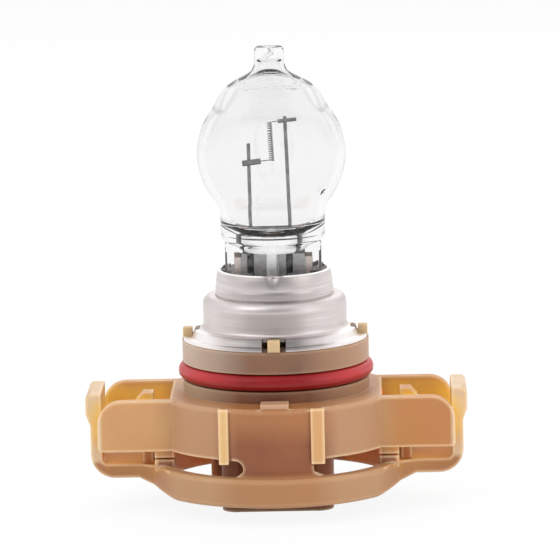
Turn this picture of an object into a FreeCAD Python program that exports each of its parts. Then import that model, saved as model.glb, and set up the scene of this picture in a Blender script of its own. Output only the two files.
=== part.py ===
"""Halogen car bulb: a glass bulb held by a metal collar on a moulded plug base with two squeeze latches.

All lengths are millimetres. The origin is the middle of the plug rim, on which the bulb stands, and +Z
points along the bulb's axis towards the glass tip. +X runs out to the right latch, -Y is the front.
"""

import FreeCAD, Part

import os
import re
import Sketcher

SIZES = {
    # Ring, skirt and flange of the moulded base
    "ring_underside": "1.95",
    "ring_height": "3.0",
    "ring_step": "1.2",
    "slot_gap": "1.75",
    "left_slot_start": "3.35",
    "right_slot_start": "3.9",
    "flange_width": "2.83",
    "skirt_wall": "1.2",
    "skirt_height": "5.4",
    "flange_thickness": "1.3",
    "moulding_edge": "0.3",
    # Round core with the seal groove
    "core_radius": "9.82",
    "neck_height": "1.3",
    "groove_play": "0.17",
    "groove_depth": "1.25",
    "disc_height": "2.3",
    "well_wall": "2.17",
    "well_depth": "4.9",
    # Plug socket below the core
    "plug_space": "1.05",
    "socket_depth": "12.0",
    "socket_wall": "1.1",
    "socket_corner": "1.8",
    "socket_reach": "9.2",
    "key_width": "3.0",
    "key_projection": "1.2",
    "key_foot": "2.3",
    # Guard panels beside the latches
    "opening_depth": "1.55",
    "panel_inset": "5.3",
    "panel_thickness": "1.1",
    "panel_length": "6.03",
    "panel_root": "0.7",
    "panel_corner": "2.5",
    "panel_foot_corner": "0.5",
    # Squeeze latches
    "latch_side_gap": "1.4",
    "latch_gap": "0.3",
    "latch_wall": "1.2",
    "latch_bar": "1.48",
    "latch_rise": "0.35",
    "latch_corner": "2.55",
    "latch_inner_corner": "0.45",
    "grip_projection": "0.45",
    "grip_length": "2.2",
    "grip_taper": "1.2",
    "grip_round": "0.6",
    "heel_depth": "2.3",
    "heel_projection": "0.7",
    "heel_half_width": "7.9",
    # Hooks inside the wing openings
    "hook_gap": "1.9",
    "hook_thickness": "1.15",
    "hook_half_width": "0.95",
    "hook_foot_inset": "0.1",
    "hook_drop": "0.1",
    "barb_reach": "0.75",
    "barb_height": "1.7",
    # Travel stops in the outer ends of the slots
    "stop_depth": "0.75",
    "stop_length": "2.1",
    "stop_breadth": "2.1",
    "stop_slit": "0.18",
    # Ribs on the front of the skirt and the locating boss on the flange
    "left_rib_offset": "5.35",
    "left_rib_width": "1.02",
    "right_rib_offset": "4.4",
    "right_rib_width": "1.42",
    "rib_projection": "0.55",
    "rib_overhang": "0.4",
    "boss_width": "2.9",
    "boss_length": "2.1",
    "boss_height": "0.5",
    # Pins that hold the metal cup down
    "pin_width": "1.26",
    "pin_depth": "1.0",
    "pin_inset": "0.1",
    "pin_height": "1.25",
    "pin_count": "4",
    # Seal ring
    "seal_thickness": "1.68",
    # Metal cup
    "cup_gauge": "0.4",
    "cup_flange_inset": "0.12",
    "cup_flange_width": "0.95",
    "flare_width": "1.2",
    "flare_height": "1.1",
    "step_rise": "0.72",
    "step_taper": "0.15",
    "step_round": "0.25",
    "notch_width": "2.5",
    "notch_depth": "1.85",
    "cup_height": "4.7",
    "cup_shoulder": "0.9",
    # Metal sleeve around the foot of the glass
    "sleeve_gauge": "0.35",
    "sleeve_inset": "0.45",
    "sleeve_taper": "0.25",
    "sleeve_rise": "2.7",
    "sleeve_rim": "0.3",
    "fit_gap": "0.03",
    # Sheet clip around the pinch of the glass
    "clip_gauge": "0.35",
    "clip_side_gap": "1.02",
    "clip_tongue_width": "0.75",
    "clip_drop": "2.3",
    "clip_rib_half_width": "0.55",
    "clip_rib_projection": "0.25",
    "clip_slot_width": "0.7",
    "left_slot_offset": "2.37",
    "right_slot_offset": "1.7",
    # Glass bulb
    "bulb_radius": "7.8",
    "crown_lift": "0.85",
    "crown_half_width": "5.4",
    "crown_step": "0.35",
    "tip_radius": "1.55",
    "tip_root_radius": "1.95",
    "tip_flare": "1.0",
    "tip_length": "1.9",
    "tip_round": "0.5",
    "neck_radius": "5.5",
    "neck_blend": "2.5",
    "neck_straight": "0.31",
    "glass_wall": "0.9",
    "floor_lift": "0.7",
    "floor_round": "1.2",
    "neck_rise": "3.45",
    "seat_radius": "3.2",
    "seat_height": "1.6",
    "pinch_clearance": "0.18",
    "pinch_half_thickness": "2.0",
    "pinch_depth": "2.85",
    # Current path inside the glass
    "post_radius": "0.19",
    "left_post_offset": "2.4",
    "right_post_offset": "1.95",
    "short_post_rise": "1.85",
    "long_post_rise": "0.76",
    "post_lean": "1.65",
    "foil_width": "1.4",
    "foil_thickness": "0.1",
    "foil_cover": "1.6",
    "foil_length": "4.2",
    "foil_lap": "0.8",
    "lead_radius": "0.3",
    # Filament and its clamps
    "coil_drop": "0.85",
    "coil_offset": "0.04",
    "coil_radius": "0.24",
    "coil_pitch": "0.23",
    "coil_turns": "18",
    "coil_tilt": "2.5",
    "wire_thickness": "0.12",
    "clamp_length": "1.95",
    "clamp_tilt": "6.5",
    "lower_clamp_radius": "0.31",
    "upper_clamp_radius": "0.25",
    "leg_entry": "0.5",
    "lower_clamp_overhang": "0.67",
    "upper_clamp_overhang": "1.2",
    # Terminal blades in the plug socket
    "blade_width": "2.8",
    "blade_thickness": "0.8",
    "blade_offset": "2.3",
    "blade_recess": "2.4",
    "blade_taper": "0.5",
    "blade_stub": "1.2",
}

WORKED_OUT = {
    # Distances from the axis
    "skirt_radius": "core_radius + flange_width",
    "skirt_bore": "skirt_radius - skirt_wall",
    "ring_radius": "skirt_radius + ring_step",
    "groove_radius": "core_radius - groove_depth",
    "well_radius": "groove_radius - well_wall",
    "pin_face": "core_radius - pin_inset",
    "socket_half_width": "blade_offset + blade_width / 2 + plug_space + socket_wall",
    "opening_start": "skirt_radius - opening_depth",
    "panel_start": "opening_start - panel_root",
    "panel_reach": "skirt_radius + panel_length",
    "latch_half_width": "panel_inset - latch_side_gap",
    "latch_inner": "panel_reach - latch_gap",
    "latch_outer": "latch_inner + latch_wall",
    "grip_outer": "latch_outer + grip_projection",
    "heel_start": "skirt_radius - heel_depth",
    "heel_end": "ring_radius + heel_projection",
    "hook_inner": "opening_start + hook_gap",
    "hook_outer": "hook_inner + hook_thickness",
    "hook_foot_half_width": "latch_half_width - hook_foot_inset",
    "stop_start": "skirt_bore - stop_depth",
    "cup_flange_radius": "core_radius - cup_flange_inset",
    "flare_radius": "cup_flange_radius - cup_flange_width",
    "cup_radius": "flare_radius - flare_width",
    "cup_bend": "cup_radius - cup_shoulder",
    "step_radius": "flare_radius - step_taper",
    "sleeve_radius": "cup_bend - sleeve_inset",
    "sleeve_top_radius": "sleeve_radius - sleeve_taper",
    "sleeve_bore": "sleeve_top_radius - sleeve_gauge",
    "pinch_half_width": "sqrt(sleeve_bore^2 - pinch_half_thickness^2) - pinch_clearance",
    "clip_inner": "pinch_half_thickness + fit_gap",
    "clip_outer": "clip_inner + clip_gauge",
    "tongue_reach": "sqrt(sleeve_bore^2 - clip_outer^2) - clip_side_gap",
    "clip_half_width": "tongue_reach - clip_tongue_width",
    "blend_offset": "neck_radius + neck_blend",
    "blend_reach": "bulb_radius + neck_blend",
    "post_depth": "post_radius + lower_clamp_radius",
    "long_post_depth": "post_radius + upper_clamp_radius",
    # Levels up the axis
    "ring_top": "ring_underside + ring_height",
    "latch_underside": "ring_top - latch_bar",
    "skirt_foot": "ring_top + slot_gap",
    "slot_middle": "ring_top + slot_gap / 2",
    "flange_top": "skirt_foot + skirt_height",
    "flange_underside": "flange_top - flange_thickness",
    "latch_top": "flange_top + latch_rise",
    "hook_top": "flange_top - hook_drop",
    "groove_foot": "flange_top + neck_height",
    "groove_top": "groove_foot + seal_thickness + groove_play",
    "disc_top": "groove_top + disc_height",
    "well_floor": "disc_top - well_depth",
    "blade_top": "well_floor + blade_stub",
    "cup_top": "disc_top + cup_height",
    "sleeve_top": "cup_top + sleeve_rise",
    "clip_level": "sleeve_top - clip_drop",
    "pinch_foot": "clip_level - pinch_depth",
    "foil_foot": "pinch_foot + foil_cover",
    "foil_top": "foil_foot + foil_length",
    "neck_foot": "sleeve_top + neck_rise",
    "clip_top": "neck_foot - seat_height - fit_gap",
    "glass_floor": "neck_foot + floor_lift",
    "blend_level": "glass_floor + floor_round + neck_straight",
    "bulb_centre": "blend_level + sqrt(blend_reach^2 - blend_offset^2)",
    "crown_centre": "bulb_centre + crown_lift",
    "crown_top": "crown_centre + sqrt(bulb_radius^2 - tip_root_radius^2)",
    "glass_top": "crown_top + tip_flare + tip_length",
    "coil_foot": "bulb_centre - coil_drop",
    "coil_top": "coil_foot + coil_turns * coil_pitch * cos(coil_tilt)",
    "post_foot": "foil_top - foil_lap",
}

doc = FreeCAD.newDocument("HalogenBulb")
sheet = doc.addObject("Spreadsheet::Sheet", "Sizes")
for row, (alias, number) in enumerate(SIZES.items(), start=1):
    sheet.set(f"A{row}", number)
    sheet.setAlias(f"A{row}", alias)
doc.recompute()


def formula(text):
    """The text with each worked-out name written out and each size named as a cell of the sheet."""
    def written(word):
        if word[0] in WORKED_OUT:
            return f"({formula(WORKED_OUT[word[0]])})"
        return f"Sizes.{word[0]}" if word[0] in SIZES else word[0]
    return re.sub(r"[a-z][a-z_]*", written, text)


def value(text):
    """What the text comes to now."""
    return float(sheet.evalExpression(formula(text)))


def bind(feature, **bound):
    """Tie properties of a feature to the sheet; a double underscore in a name stands for a dot."""
    for name, text in bound.items():
        feature.setExpression(name.replace("__", "."), formula(text))


def new_body(label):
    """A body for one piece, named after it."""
    body = doc.addObject("PartDesign::Body", label)
    body.Label = label
    return body


def origin_part(body, role):
    """One of the body's own planes or axes."""
    return next(part for part in body.Origin.OriginFeatures if part.Role == role)


def new_sketch(body, role, name, level="0"):
    """A sketch on one of the body's planes, moved along that plane's normal."""
    sketch = body.newObject("Sketcher::SketchObject", name)
    sketch.AttachmentSupport = [(origin_part(body, role), "")]
    sketch.MapMode = "FlatFace"
    bind(sketch, AttachmentOffset__Base__z=level)
    return sketch


def hold_point(sketch, geometry, end, x, y):
    """Fix one point of a sketch at bound coordinates."""
    for kind, axis, text in (("DistanceX", -2, x), ("DistanceY", -1, y)):
        if text == "0":
            sketch.addConstraint(Sketcher.Constraint("PointOnObject", geometry, end, axis))
        else:
            number = sketch.addConstraint(Sketcher.Constraint(kind, -1, 1, geometry, end, value(text)))
            sketch.setExpression(f"Constraints[{number}]", formula(text))


def add_arc(sketch, first, last, centre):
    """The shorter arc between two points; returns its number and which end is first and last."""
    radius = (first - centre).Length
    middle = centre + ((first - centre) + (last - centre)).normalize() * radius
    if (first - centre).cross(last - centre).z > 0:
        return sketch.addGeometry(Part.ArcOfCircle(first, middle, last)), 1, 2
    return sketch.addGeometry(Part.ArcOfCircle(last, middle, first)), 2, 1


def draw_outline(sketch, corners):
    """A closed outline. A corner is (x, y), or (x, y, centre x, centre y) where an arc leads to it."""
    spots = [FreeCAD.Vector(value(corner[0]), value(corner[1]), 0) for corner in corners]
    pieces = []
    for index, corner in enumerate(corners):
        first, last = spots[index - 1], spots[index]
        if len(corner) == 2:
            pieces.append((sketch.addGeometry(Part.LineSegment(first, last)), 1, 2))
            continue
        centre = FreeCAD.Vector(value(corner[2]), value(corner[3]), 0)
        geometry, start, end = add_arc(sketch, first, last, centre)
        pieces.append((geometry, start, end))
        upright = abs(last.y - first.y) >= abs(last.x - first.x)
        axis, kind, text = (-2, "DistanceX", corner[2]) if upright else (-1, "DistanceY", corner[3])
        if text == "0":
            sketch.addConstraint(Sketcher.Constraint("PointOnObject", geometry, 3, axis))
        else:
            number = sketch.addConstraint(Sketcher.Constraint(kind, -1, 1, geometry, 3, value(text)))
            sketch.setExpression(f"Constraints[{number}]", formula(text))
    for index, corner in enumerate(corners):
        geometry, start, end = pieces[index]
        following, next_start, next_end = pieces[(index + 1) % len(pieces)]
        sketch.addConstraint(Sketcher.Constraint("Coincident", geometry, end, following, next_start))
        hold_point(sketch, geometry, end, corner[0], corner[1])


def draw_both_sides(sketch, corners):
    """The same outline on the right and, mirrored, on the left."""
    draw_outline(sketch, corners)
    draw_outline(sketch, [tuple(negative(text) if n % 2 == 0 else text for n, text in enumerate(corner))
                          for corner in corners])


def negative(text):
    """The text with its sign turned."""
    return text if text == "0" else f"-1 * ({text})"


def draw_circle(sketch, x, y, radius):
    """A full circle."""
    spot = FreeCAD.Vector(value(x), value(y), 0)
    geometry = sketch.addGeometry(Part.Circle(spot, FreeCAD.Vector(0, 0, 1), value(radius)))
    number = sketch.addConstraint(Sketcher.Constraint("Radius", geometry, value(radius)))
    sketch.setExpression(f"Constraints[{number}]", formula(radius))
    hold_point(sketch, geometry, 3, x, y)


def box_corners(left, right, near, far):
    """The four corners of a rectangle."""
    return [(left, near), (right, near), (right, far), (left, far)]


def rounded_box(half_width, half_length, corner):
    """A rectangle about the origin with rounded corners."""
    corners = []
    for x_sign, y_sign in ((1, -1), (1, 1), (-1, 1), (-1, -1)):
        edge_x, edge_y = f"{x_sign} * ({half_width})", f"{y_sign} * ({half_length})"
        centre_x = f"{x_sign} * ({half_width} - {corner})"
        centre_y = f"{y_sign} * ({half_length} - {corner})"
        before, after = (centre_x, edge_y), (edge_x, centre_y)
        if x_sign != -y_sign:
            before, after = after, before
        corners.append(before)
        corners.append((*after, centre_x, centre_y))
    return corners


def add_feature(body, kind, sketch, name, **settings):
    """A PartDesign feature made from a sketch."""
    feature = body.newObject(f"PartDesign::{kind}", name)
    feature.Profile = sketch
    for setting, choice in settings.items():
        setattr(feature, setting, choice)
    return feature


def pad(body, sketch, name, length, **settings):
    """Material along the sketch's normal."""
    bind(add_feature(body, "Pad", sketch, name, **settings), Length=length)


def pocket(body, sketch, name, length, **settings):
    """A cut against the sketch's normal, or along it when reversed."""
    bind(add_feature(body, "Pocket", sketch, name, **settings), Length=length)


def revolve(body, sketch, name, kind="Revolution"):
    """A full turn about the body's upright axis."""
    add_feature(body, kind, sketch, name, ReferenceAxis=(sketch, ["V_Axis"]), Angle=360)


def mirror_last(body, name, role):
    """The body's last feature again on the other side of a plane."""
    mirrored = body.newObject("PartDesign::Mirrored", name)
    mirrored.Originals = [body.Group[-2]]
    mirrored.MirrorPlane = (origin_part(body, role), [""])
    body.Tip = mirrored


def turn_last(body, name, count):
    """The body's last feature repeated evenly round the axis."""
    pattern = body.newObject("PartDesign::PolarPattern", name)
    pattern.Originals = [body.Group[-2]]
    pattern.Axis = (origin_part(body, "Z_Axis"), [""])
    pattern.Angle = 360
    bind(pattern, Occurrences=count)
    body.Tip = pattern


def add_core(body):
    """The turned form: core with seal groove and well, flange and skirt wall down to the ring."""
    sketch = new_sketch(body, "XZ_Plane", "core_section")
    draw_outline(sketch, [
        ("0", "flange_underside"),
        ("skirt_bore", "flange_underside"),
        ("skirt_bore", "ring_underside"),
        ("skirt_radius", "ring_underside"),
        ("skirt_radius", "flange_top - moulding_edge"),
        ("skirt_radius - moulding_edge", "flange_top"),
        ("core_radius", "flange_top"),
        ("core_radius", "groove_foot"),
        ("groove_radius", "groove_foot"),
        ("groove_radius", "groove_top"),
        ("core_radius", "groove_top"),
        ("core_radius", "disc_top"),
        ("well_radius", "disc_top"),
        ("well_radius", "well_floor"),
        ("0", "well_floor"),
    ])
    revolve(body, sketch, "core")


def add_slots_and_ring(body):
    """Slots that part the skirt from the ring except at the front and back, then the ring itself."""
    sketch = new_sketch(body, "XZ_Plane", "slot_outlines")
    for side, start in (("-1", "left_slot_start"), ("1", "right_slot_start")):
        round_end, round_centre = f"{side} * {start}", f"{side} * ({start} + slot_gap / 2)"
        outside = f"{side} * (skirt_radius + slot_gap)"
        draw_outline(sketch, [
            (round_centre, "skirt_foot"),
            (round_end, "slot_middle", round_centre, "slot_middle"),
            (round_centre, "ring_top", round_centre, "slot_middle"),
            (round_centre, "ring_underside - slot_gap"),
            (outside, "ring_underside - slot_gap"),
            (outside, "skirt_foot"),
        ])
    pocket(body, sketch, "slots", "3 * skirt_radius", SideType="Symmetric")
    ring = new_sketch(body, "XZ_Plane", "ring_section")
    draw_outline(ring, [
        ("skirt_radius - skirt_wall / 4", "ring_underside"),
        ("ring_radius - moulding_edge", "ring_underside"),
        ("ring_radius", "ring_underside + moulding_edge"),
        ("ring_radius", "ring_top - moulding_edge"),
        ("ring_radius - moulding_edge", "ring_top"),
        ("skirt_radius - skirt_wall / 4", "ring_top"),
    ])
    revolve(body, ring, "ring")


def add_socket(body):
    """The plug socket: a rounded box under the flange with a key on its left side, open below."""
    outer = new_sketch(body, "XY_Plane", "socket_outline")
    draw_outline(outer, rounded_box("socket_half_width", "socket_depth / 2", "socket_corner"))
    pad(body, outer, "socket", "flange_underside + flange_thickness / 2")
    key = new_sketch(body, "XY_Plane", "key_outline", "key_foot")
    draw_outline(key, box_corners(
        "-1 * (socket_half_width + key_projection)", "-1 * (socket_half_width - socket_wall / 2)",
        "-1 * key_width / 2", "key_width / 2"))
    pad(body, key, "key", "flange_underside + flange_thickness / 2 - key_foot")
    cavity = new_sketch(body, "XY_Plane", "cavity_outline")
    draw_outline(cavity, rounded_box(
        "(socket_half_width - socket_wall)", "(socket_depth / 2 - socket_wall)", "(socket_corner / 2)"))
    pocket(body, cavity, "cavity", "socket_reach", Reversed=True)
    holes = new_sketch(body, "XY_Plane", "blade_hole_outlines")
    draw_both_sides(holes, box_corners(
        "blade_offset - blade_width / 2", "blade_offset + blade_width / 2",
        "-1 * blade_thickness / 2", "blade_thickness / 2"))
    pocket(body, holes, "blade_holes", "well_floor + blade_stub", Reversed=True)


def add_wings(body):
    """Openings in the flange and skirt, and the two flat guard panels on each side of them."""
    openings = new_sketch(body, "XY_Plane", "wing_openings", "flange_top + flange_thickness")
    draw_both_sides(openings, box_corners(
        "opening_start", "skirt_radius + skirt_wall", "-1 * panel_inset", "panel_inset"))
    pocket(body, openings, "openings", "flange_thickness + skirt_height + slot_gap / 2")
    panels = new_sketch(body, "XZ_Plane", "panel_outlines", "panel_inset")
    draw_both_sides(panels, [
        ("panel_start", "skirt_foot"),
        ("panel_reach - panel_foot_corner", "skirt_foot"),
        ("panel_reach", "skirt_foot + panel_foot_corner",
         "panel_reach - panel_foot_corner", "skirt_foot + panel_foot_corner"),
        ("panel_reach", "flange_top - panel_corner"),
        ("panel_reach - panel_corner", "flange_top",
         "panel_reach - panel_corner", "flange_top - panel_corner"),
        ("panel_start", "flange_top"),
    ])
    pad(body, panels, "front_panels", "panel_thickness")
    mirror_last(body, "rear_panels", "XZ_Plane")


def add_latches(body):
    """Squeeze latches: a bar out from the ring, turned up into a plate with a grip pad at its top."""
    band = new_sketch(body, "XZ_Plane", "latch_outlines")
    inner, outer = "latch_inner_corner", "latch_corner"
    draw_both_sides(band, [
        ("skirt_radius", "latch_underside"),
        (f"latch_outer - {outer}", "latch_underside"),
        ("latch_outer", f"latch_underside + {outer}",
         f"latch_outer - {outer}", f"latch_underside + {outer}"),
        ("latch_outer", "latch_top - grip_length - grip_taper"),
        ("grip_outer", "latch_top - grip_length"),
        ("grip_outer", "latch_top - grip_round"),
        ("grip_outer - grip_round", "latch_top", "grip_outer - grip_round", "latch_top - grip_round"),
        ("latch_inner", "latch_top"),
        ("latch_inner", f"ring_top + {inner}"),
        (f"latch_inner - {inner}", "ring_top", f"latch_inner - {inner}", f"ring_top + {inner}"),
        ("skirt_radius", "ring_top"),
    ])
    pad(body, band, "latch_bands", "2 * latch_half_width", SideType="Symmetric")
    root = "(skirt_radius + ring_step / 2)"
    blend = new_sketch(body, "XY_Plane", "heel_outlines", "ring_underside")
    root_x = f"sqrt({root}^2 - heel_half_width^2)"
    waist_x = "((heel_start + heel_end) / 2)"
    waist_y = "(latch_half_width + (heel_half_width - latch_half_width) / 3)"
    draw_both_sides(blend, [
        (root_x, "-1 * heel_half_width", "0", "0"),
        ("sqrt(ring_radius^2 - heel_half_width^2)", "-1 * heel_half_width"),
        (waist_x, f"-1 * {waist_y}"),
        ("heel_end", "-1 * latch_half_width"),
        ("heel_end", "latch_half_width"),
        (waist_x, waist_y),
        ("sqrt(ring_radius^2 - heel_half_width^2)", "heel_half_width"),
        (root_x, "heel_half_width"),
    ])
    pad(body, blend, "heels", "ring_height")
    slope = new_sketch(body, "XZ_Plane", "heel_slopes")
    draw_both_sides(slope, [
        ("heel_start", "ring_underside"),
        ("heel_end", "latch_underside"),
        ("heel_end + ring_step", "latch_underside"),
        ("heel_end + ring_step", "ring_underside - ring_step"),
        ("heel_start", "ring_underside - ring_step"),
    ])
    pocket(body, slope, "heel_cuts", "4 * heel_half_width", SideType="Symmetric")


def add_hooks(body):
    """Upright hooks on the latch bars, inside the wing openings, with barbs facing outwards."""
    arm = new_sketch(body, "YZ_Plane", "hook_arm_outline", "hook_inner")
    bend = "(flange_top - barb_height - barb_height / 2)"
    side = [
        ("hook_foot_half_width", "ring_top - latch_bar / 2"),
        ("hook_foot_half_width", "skirt_foot"),
        ("hook_half_width", bend),
        ("hook_half_width", "hook_top"),
    ]
    draw_outline(arm, side + [(negative(y), level) for y, level in reversed(side)])
    pad(body, arm, "right_hook_arm", "hook_thickness")
    mirror_last(body, "left_hook_arm", "YZ_Plane")
    barb = new_sketch(body, "XZ_Plane", "barb_outlines")
    draw_both_sides(barb, [
        ("hook_outer - hook_thickness / 2", "hook_top - barb_height"),
        ("hook_outer", "hook_top - barb_height"),
        ("hook_outer + barb_reach", "hook_top - barb_height / 2"),
        ("hook_outer", "hook_top"),
        ("hook_outer - hook_thickness / 2", "hook_top"),
    ])
    pad(body, barb, "barbs", "2 * hook_half_width", SideType="Symmetric")


def add_stops(body):
    """Blocks that meet across a thin slit and limit how far the latches can be squeezed."""
    height = "((slot_gap - stop_slit) / 2)"
    root = "(slot_gap / 4)"
    far = "(panel_inset + panel_thickness / 2)"
    for name, level in (("lower_stops", f"ring_top - {root}"), ("upper_stops", f"skirt_foot - {height}")):
        sketch = new_sketch(body, "XY_Plane", f"{name}_outline", level)
        draw_both_sides(sketch, box_corners(
            "stop_start", "stop_start + stop_length", f"-1 * {far}", f"-1 * ({far} - stop_breadth)"))
        draw_both_sides(sketch, box_corners(
            "stop_start", "stop_start + stop_length", f"{far} - stop_breadth", far))
        pad(body, sketch, name, f"{height} + {root}")


def add_front_details(body):
    """The two ribs on the front of the skirt and the locating boss on the flange."""
    for side, centre, width in (("left", "-1 * left_rib_offset", "left_rib_width"),
                                ("right", "right_rib_offset", "right_rib_width")):
        front = f"sqrt(skirt_radius^2 - ({centre})^2) + rib_projection"
        sketch = new_sketch(body, "XZ_Plane", f"{side}_rib_outline", front)
        draw_outline(sketch, box_corners(
            f"{centre} - {width} / 2", f"{centre} + {width} / 2",
            "skirt_foot - rib_overhang", "flange_top"))
        pad(body, sketch, f"{side}_rib", "rib_projection + skirt_wall / 2", Reversed=True)
    boss = new_sketch(body, "XY_Plane", "boss_outline", "flange_top - flange_thickness / 2")
    draw_outline(boss, box_corners(
        "-1 * boss_width / 2", "boss_width / 2",
        "-1 * (skirt_radius - moulding_edge)", "-1 * (skirt_radius - moulding_edge - boss_length)"))
    pad(body, boss, "boss", "boss_height + flange_thickness / 2")


def add_pins(body):
    """Square pins on the rim of the disc that stand in the notches of the metal cup."""
    sketch = new_sketch(body, "XY_Plane", "pin_outline", "disc_top - disc_height / 2")
    draw_outline(sketch, box_corners("-1 * pin_width / 2", "pin_width / 2",
                                     "-1 * pin_face", "-1 * (pin_face - pin_depth)"))
    pad(body, sketch, "first_pin", "pin_height + disc_height / 2")
    turn_last(body, "pins", "pin_count")


def make_base_moulding():
    """The whole moulded base, one piece of plastic."""
    body = new_body("base_moulding")
    add_core(body)
    add_slots_and_ring(body)
    add_socket(body)
    add_wings(body)
    add_latches(body)
    add_hooks(body)
    add_stops(body)
    add_front_details(body)
    add_pins(body)
    return body


def make_seal():
    """The round rubber seal ring lying in the groove."""
    ring = doc.addObject("Part::Torus", "seal_ring")
    ring.Label = "seal_ring"
    bind(ring, Radius1="groove_radius + fit_gap + seal_thickness / 2", Radius2="seal_thickness / 2",
         Placement__Base__z="(groove_foot + groove_top) / 2")
    return ring


def make_cup():
    """The pressed metal cup: notched flange, stepped flare, wall and rounded shoulder with a hole."""
    body = new_body("metal_cup")
    sketch = new_sketch(body, "XZ_Plane", "cup_section")
    flange = "(disc_top + cup_gauge)"
    step = f"({flange} + step_rise)"
    turn = "(cup_top - cup_shoulder)"
    hole = "(sleeve_radius + fit_gap)"
    draw_outline(sketch, [
        ("flare_radius - cup_gauge", "disc_top"),
        ("cup_flange_radius", "disc_top"),
        ("cup_flange_radius", flange),
        ("flare_radius", flange),
        ("step_radius", f"{step} - step_round"),
        ("step_radius - step_round", step, "step_radius - step_round", f"{step} - step_round"),
        ("cup_radius", f"{flange} + flare_height"),
        ("cup_radius", turn),
        ("cup_bend", "cup_top", "cup_bend", turn),
        (hole, "cup_top"),
        (hole, "cup_top - cup_gauge"),
        ("cup_bend", "cup_top - cup_gauge"),
        ("cup_radius - cup_gauge", turn),
        ("cup_radius - cup_gauge", "disc_top + flare_height"),
        ("step_radius - cup_gauge", f"{step} - cup_gauge"),
    ])
    revolve(body, sketch, "cup")
    notch = new_sketch(body, "XY_Plane", "notch_outline", f"{flange} + flare_height")
    draw_outline(notch, box_corners("-1 * notch_width / 2", "notch_width / 2",
                                    "-1 * core_radius", "-1 * (cup_flange_radius - notch_depth)"))
    pocket(body, notch, "first_notch", "flare_height + cup_gauge + fit_gap")
    turn_last(body, "notches", "pin_count")
    return body


def make_sleeve():
    """The metal sleeve that stands in the cup and closes round the foot of the glass."""
    body = new_body("collar_sleeve")
    sketch = new_sketch(body, "XZ_Plane", "sleeve_section")
    seat = "(cup_top - cup_gauge)"
    foot = "(cup_bend - fit_gap)"
    lip = "(sleeve_top - sleeve_rim)"
    draw_outline(sketch, [
        ("sleeve_radius - sleeve_gauge", f"{seat} - sleeve_gauge"),
        (foot, f"{seat} - sleeve_gauge"),
        (foot, seat),
        ("sleeve_radius", seat),
        ("sleeve_radius", "cup_top + sleeve_rise / 3"),
        ("sleeve_top_radius", lip),
        ("sleeve_top_radius - sleeve_rim", "sleeve_top"),
        ("sleeve_bore", "sleeve_top"),
        ("sleeve_bore", lip),
        ("sleeve_radius - sleeve_gauge", "cup_top + sleeve_rise / 3"),
    ])
    revolve(body, sketch, "sleeve")
    return body


def make_clip():
    """The sheet clip: a ring plate in the sleeve with slotted cheeks up both faces of the glass pinch."""
    body = new_body("pinch_clip")
    plate = new_sketch(body, "XY_Plane", "plate_outline", "clip_level")
    draw_circle(plate, "0", "0", "sleeve_bore - fit_gap")
    draw_outline(plate, box_corners("-1 * (pinch_half_width + fit_gap)", "pinch_half_width + fit_gap",
                                    "-1 * clip_inner", "clip_inner"))
    pad(body, plate, "plate", "clip_gauge")
    cheek = new_sketch(body, "XZ_Plane", "cheek_outline", "clip_inner")
    draw_outline(cheek, box_corners("-1 * clip_half_width", "clip_half_width", "clip_level", "clip_top"))
    pad(body, cheek, "front_cheek", "clip_gauge")
    mirror_last(body, "rear_cheek", "XZ_Plane")
    tongues = new_sketch(body, "XZ_Plane", "tongue_outline", "clip_inner")
    draw_both_sides(tongues, box_corners(
        "clip_half_width - clip_gauge", "tongue_reach", "clip_level", "clip_top - clip_gauge"))
    pad(body, tongues, "front_tongues", "clip_gauge / 2")
    mirror_last(body, "rear_tongues", "XZ_Plane")
    rib = new_sketch(body, "XZ_Plane", "rib_outline", "clip_outer")
    draw_outline(rib, box_corners("-1 * clip_rib_half_width", "clip_rib_half_width",
                                  "clip_level", "clip_top"))
    pad(body, rib, "front_rib", "clip_rib_projection")
    mirror_last(body, "rear_rib", "XZ_Plane")
    slots = new_sketch(body, "XZ_Plane", "clip_slot_outlines", "clip_outer")
    for middle in ("(-1 * left_slot_offset)", "right_slot_offset"):
        draw_outline(slots, box_corners(f"{middle} - clip_slot_width / 2", f"{middle} + clip_slot_width / 2",
                                        "clip_level + 2 * clip_gauge", "clip_top + clip_gauge"))
    pocket(body, slots, "front_slots", "clip_gauge")
    mirror_last(body, "rear_slots", "XZ_Plane")
    return body


def make_envelope():
    """The glass as blown and pinched, before the metal is sealed into it."""
    body = new_body("glass_blank")
    outer = new_sketch(body, "XZ_Plane", "outer_section")
    draw_outline(outer, glass_profile("bulb_radius", "neck_radius") + [
        ("neck_radius", "neck_foot"),
        ("seat_radius", "neck_foot - seat_height"),
        ("0", "neck_foot - seat_height"),
        ("0", "glass_top"),
        ("tip_radius - tip_round", "glass_top"),
        ("tip_radius", "glass_top - tip_round",
         "tip_radius - tip_round", "glass_top - tip_round"),
        ("tip_radius", "crown_top + tip_flare"),
        ("tip_root_radius", "crown_top"),
    ])
    revolve(body, outer, "blown_form")
    pinch = new_sketch(body, "XY_Plane", "pinch_outline", "pinch_foot")
    draw_outline(pinch, box_corners("-1 * pinch_half_width", "pinch_half_width",
                                    "-1 * pinch_half_thickness", "pinch_half_thickness"))
    pad(body, pinch, "pinch", "glass_floor - glass_wall - pinch_foot")
    inner = new_sketch(body, "XZ_Plane", "inner_section")
    bore = "(neck_radius - glass_wall)"
    inside = "(bulb_radius - glass_wall)"
    draw_outline(inner, glass_profile(inside, bore) + [
        (bore, "glass_floor + floor_round"),
        (f"{bore} - floor_round", "glass_floor", f"{bore} - floor_round", "glass_floor + floor_round"),
        ("0", "glass_floor"),
        ("0", f"crown_centre + {inside}"),
    ])
    revolve(body, inner, "hollow", "Groove")
    return body


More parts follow.
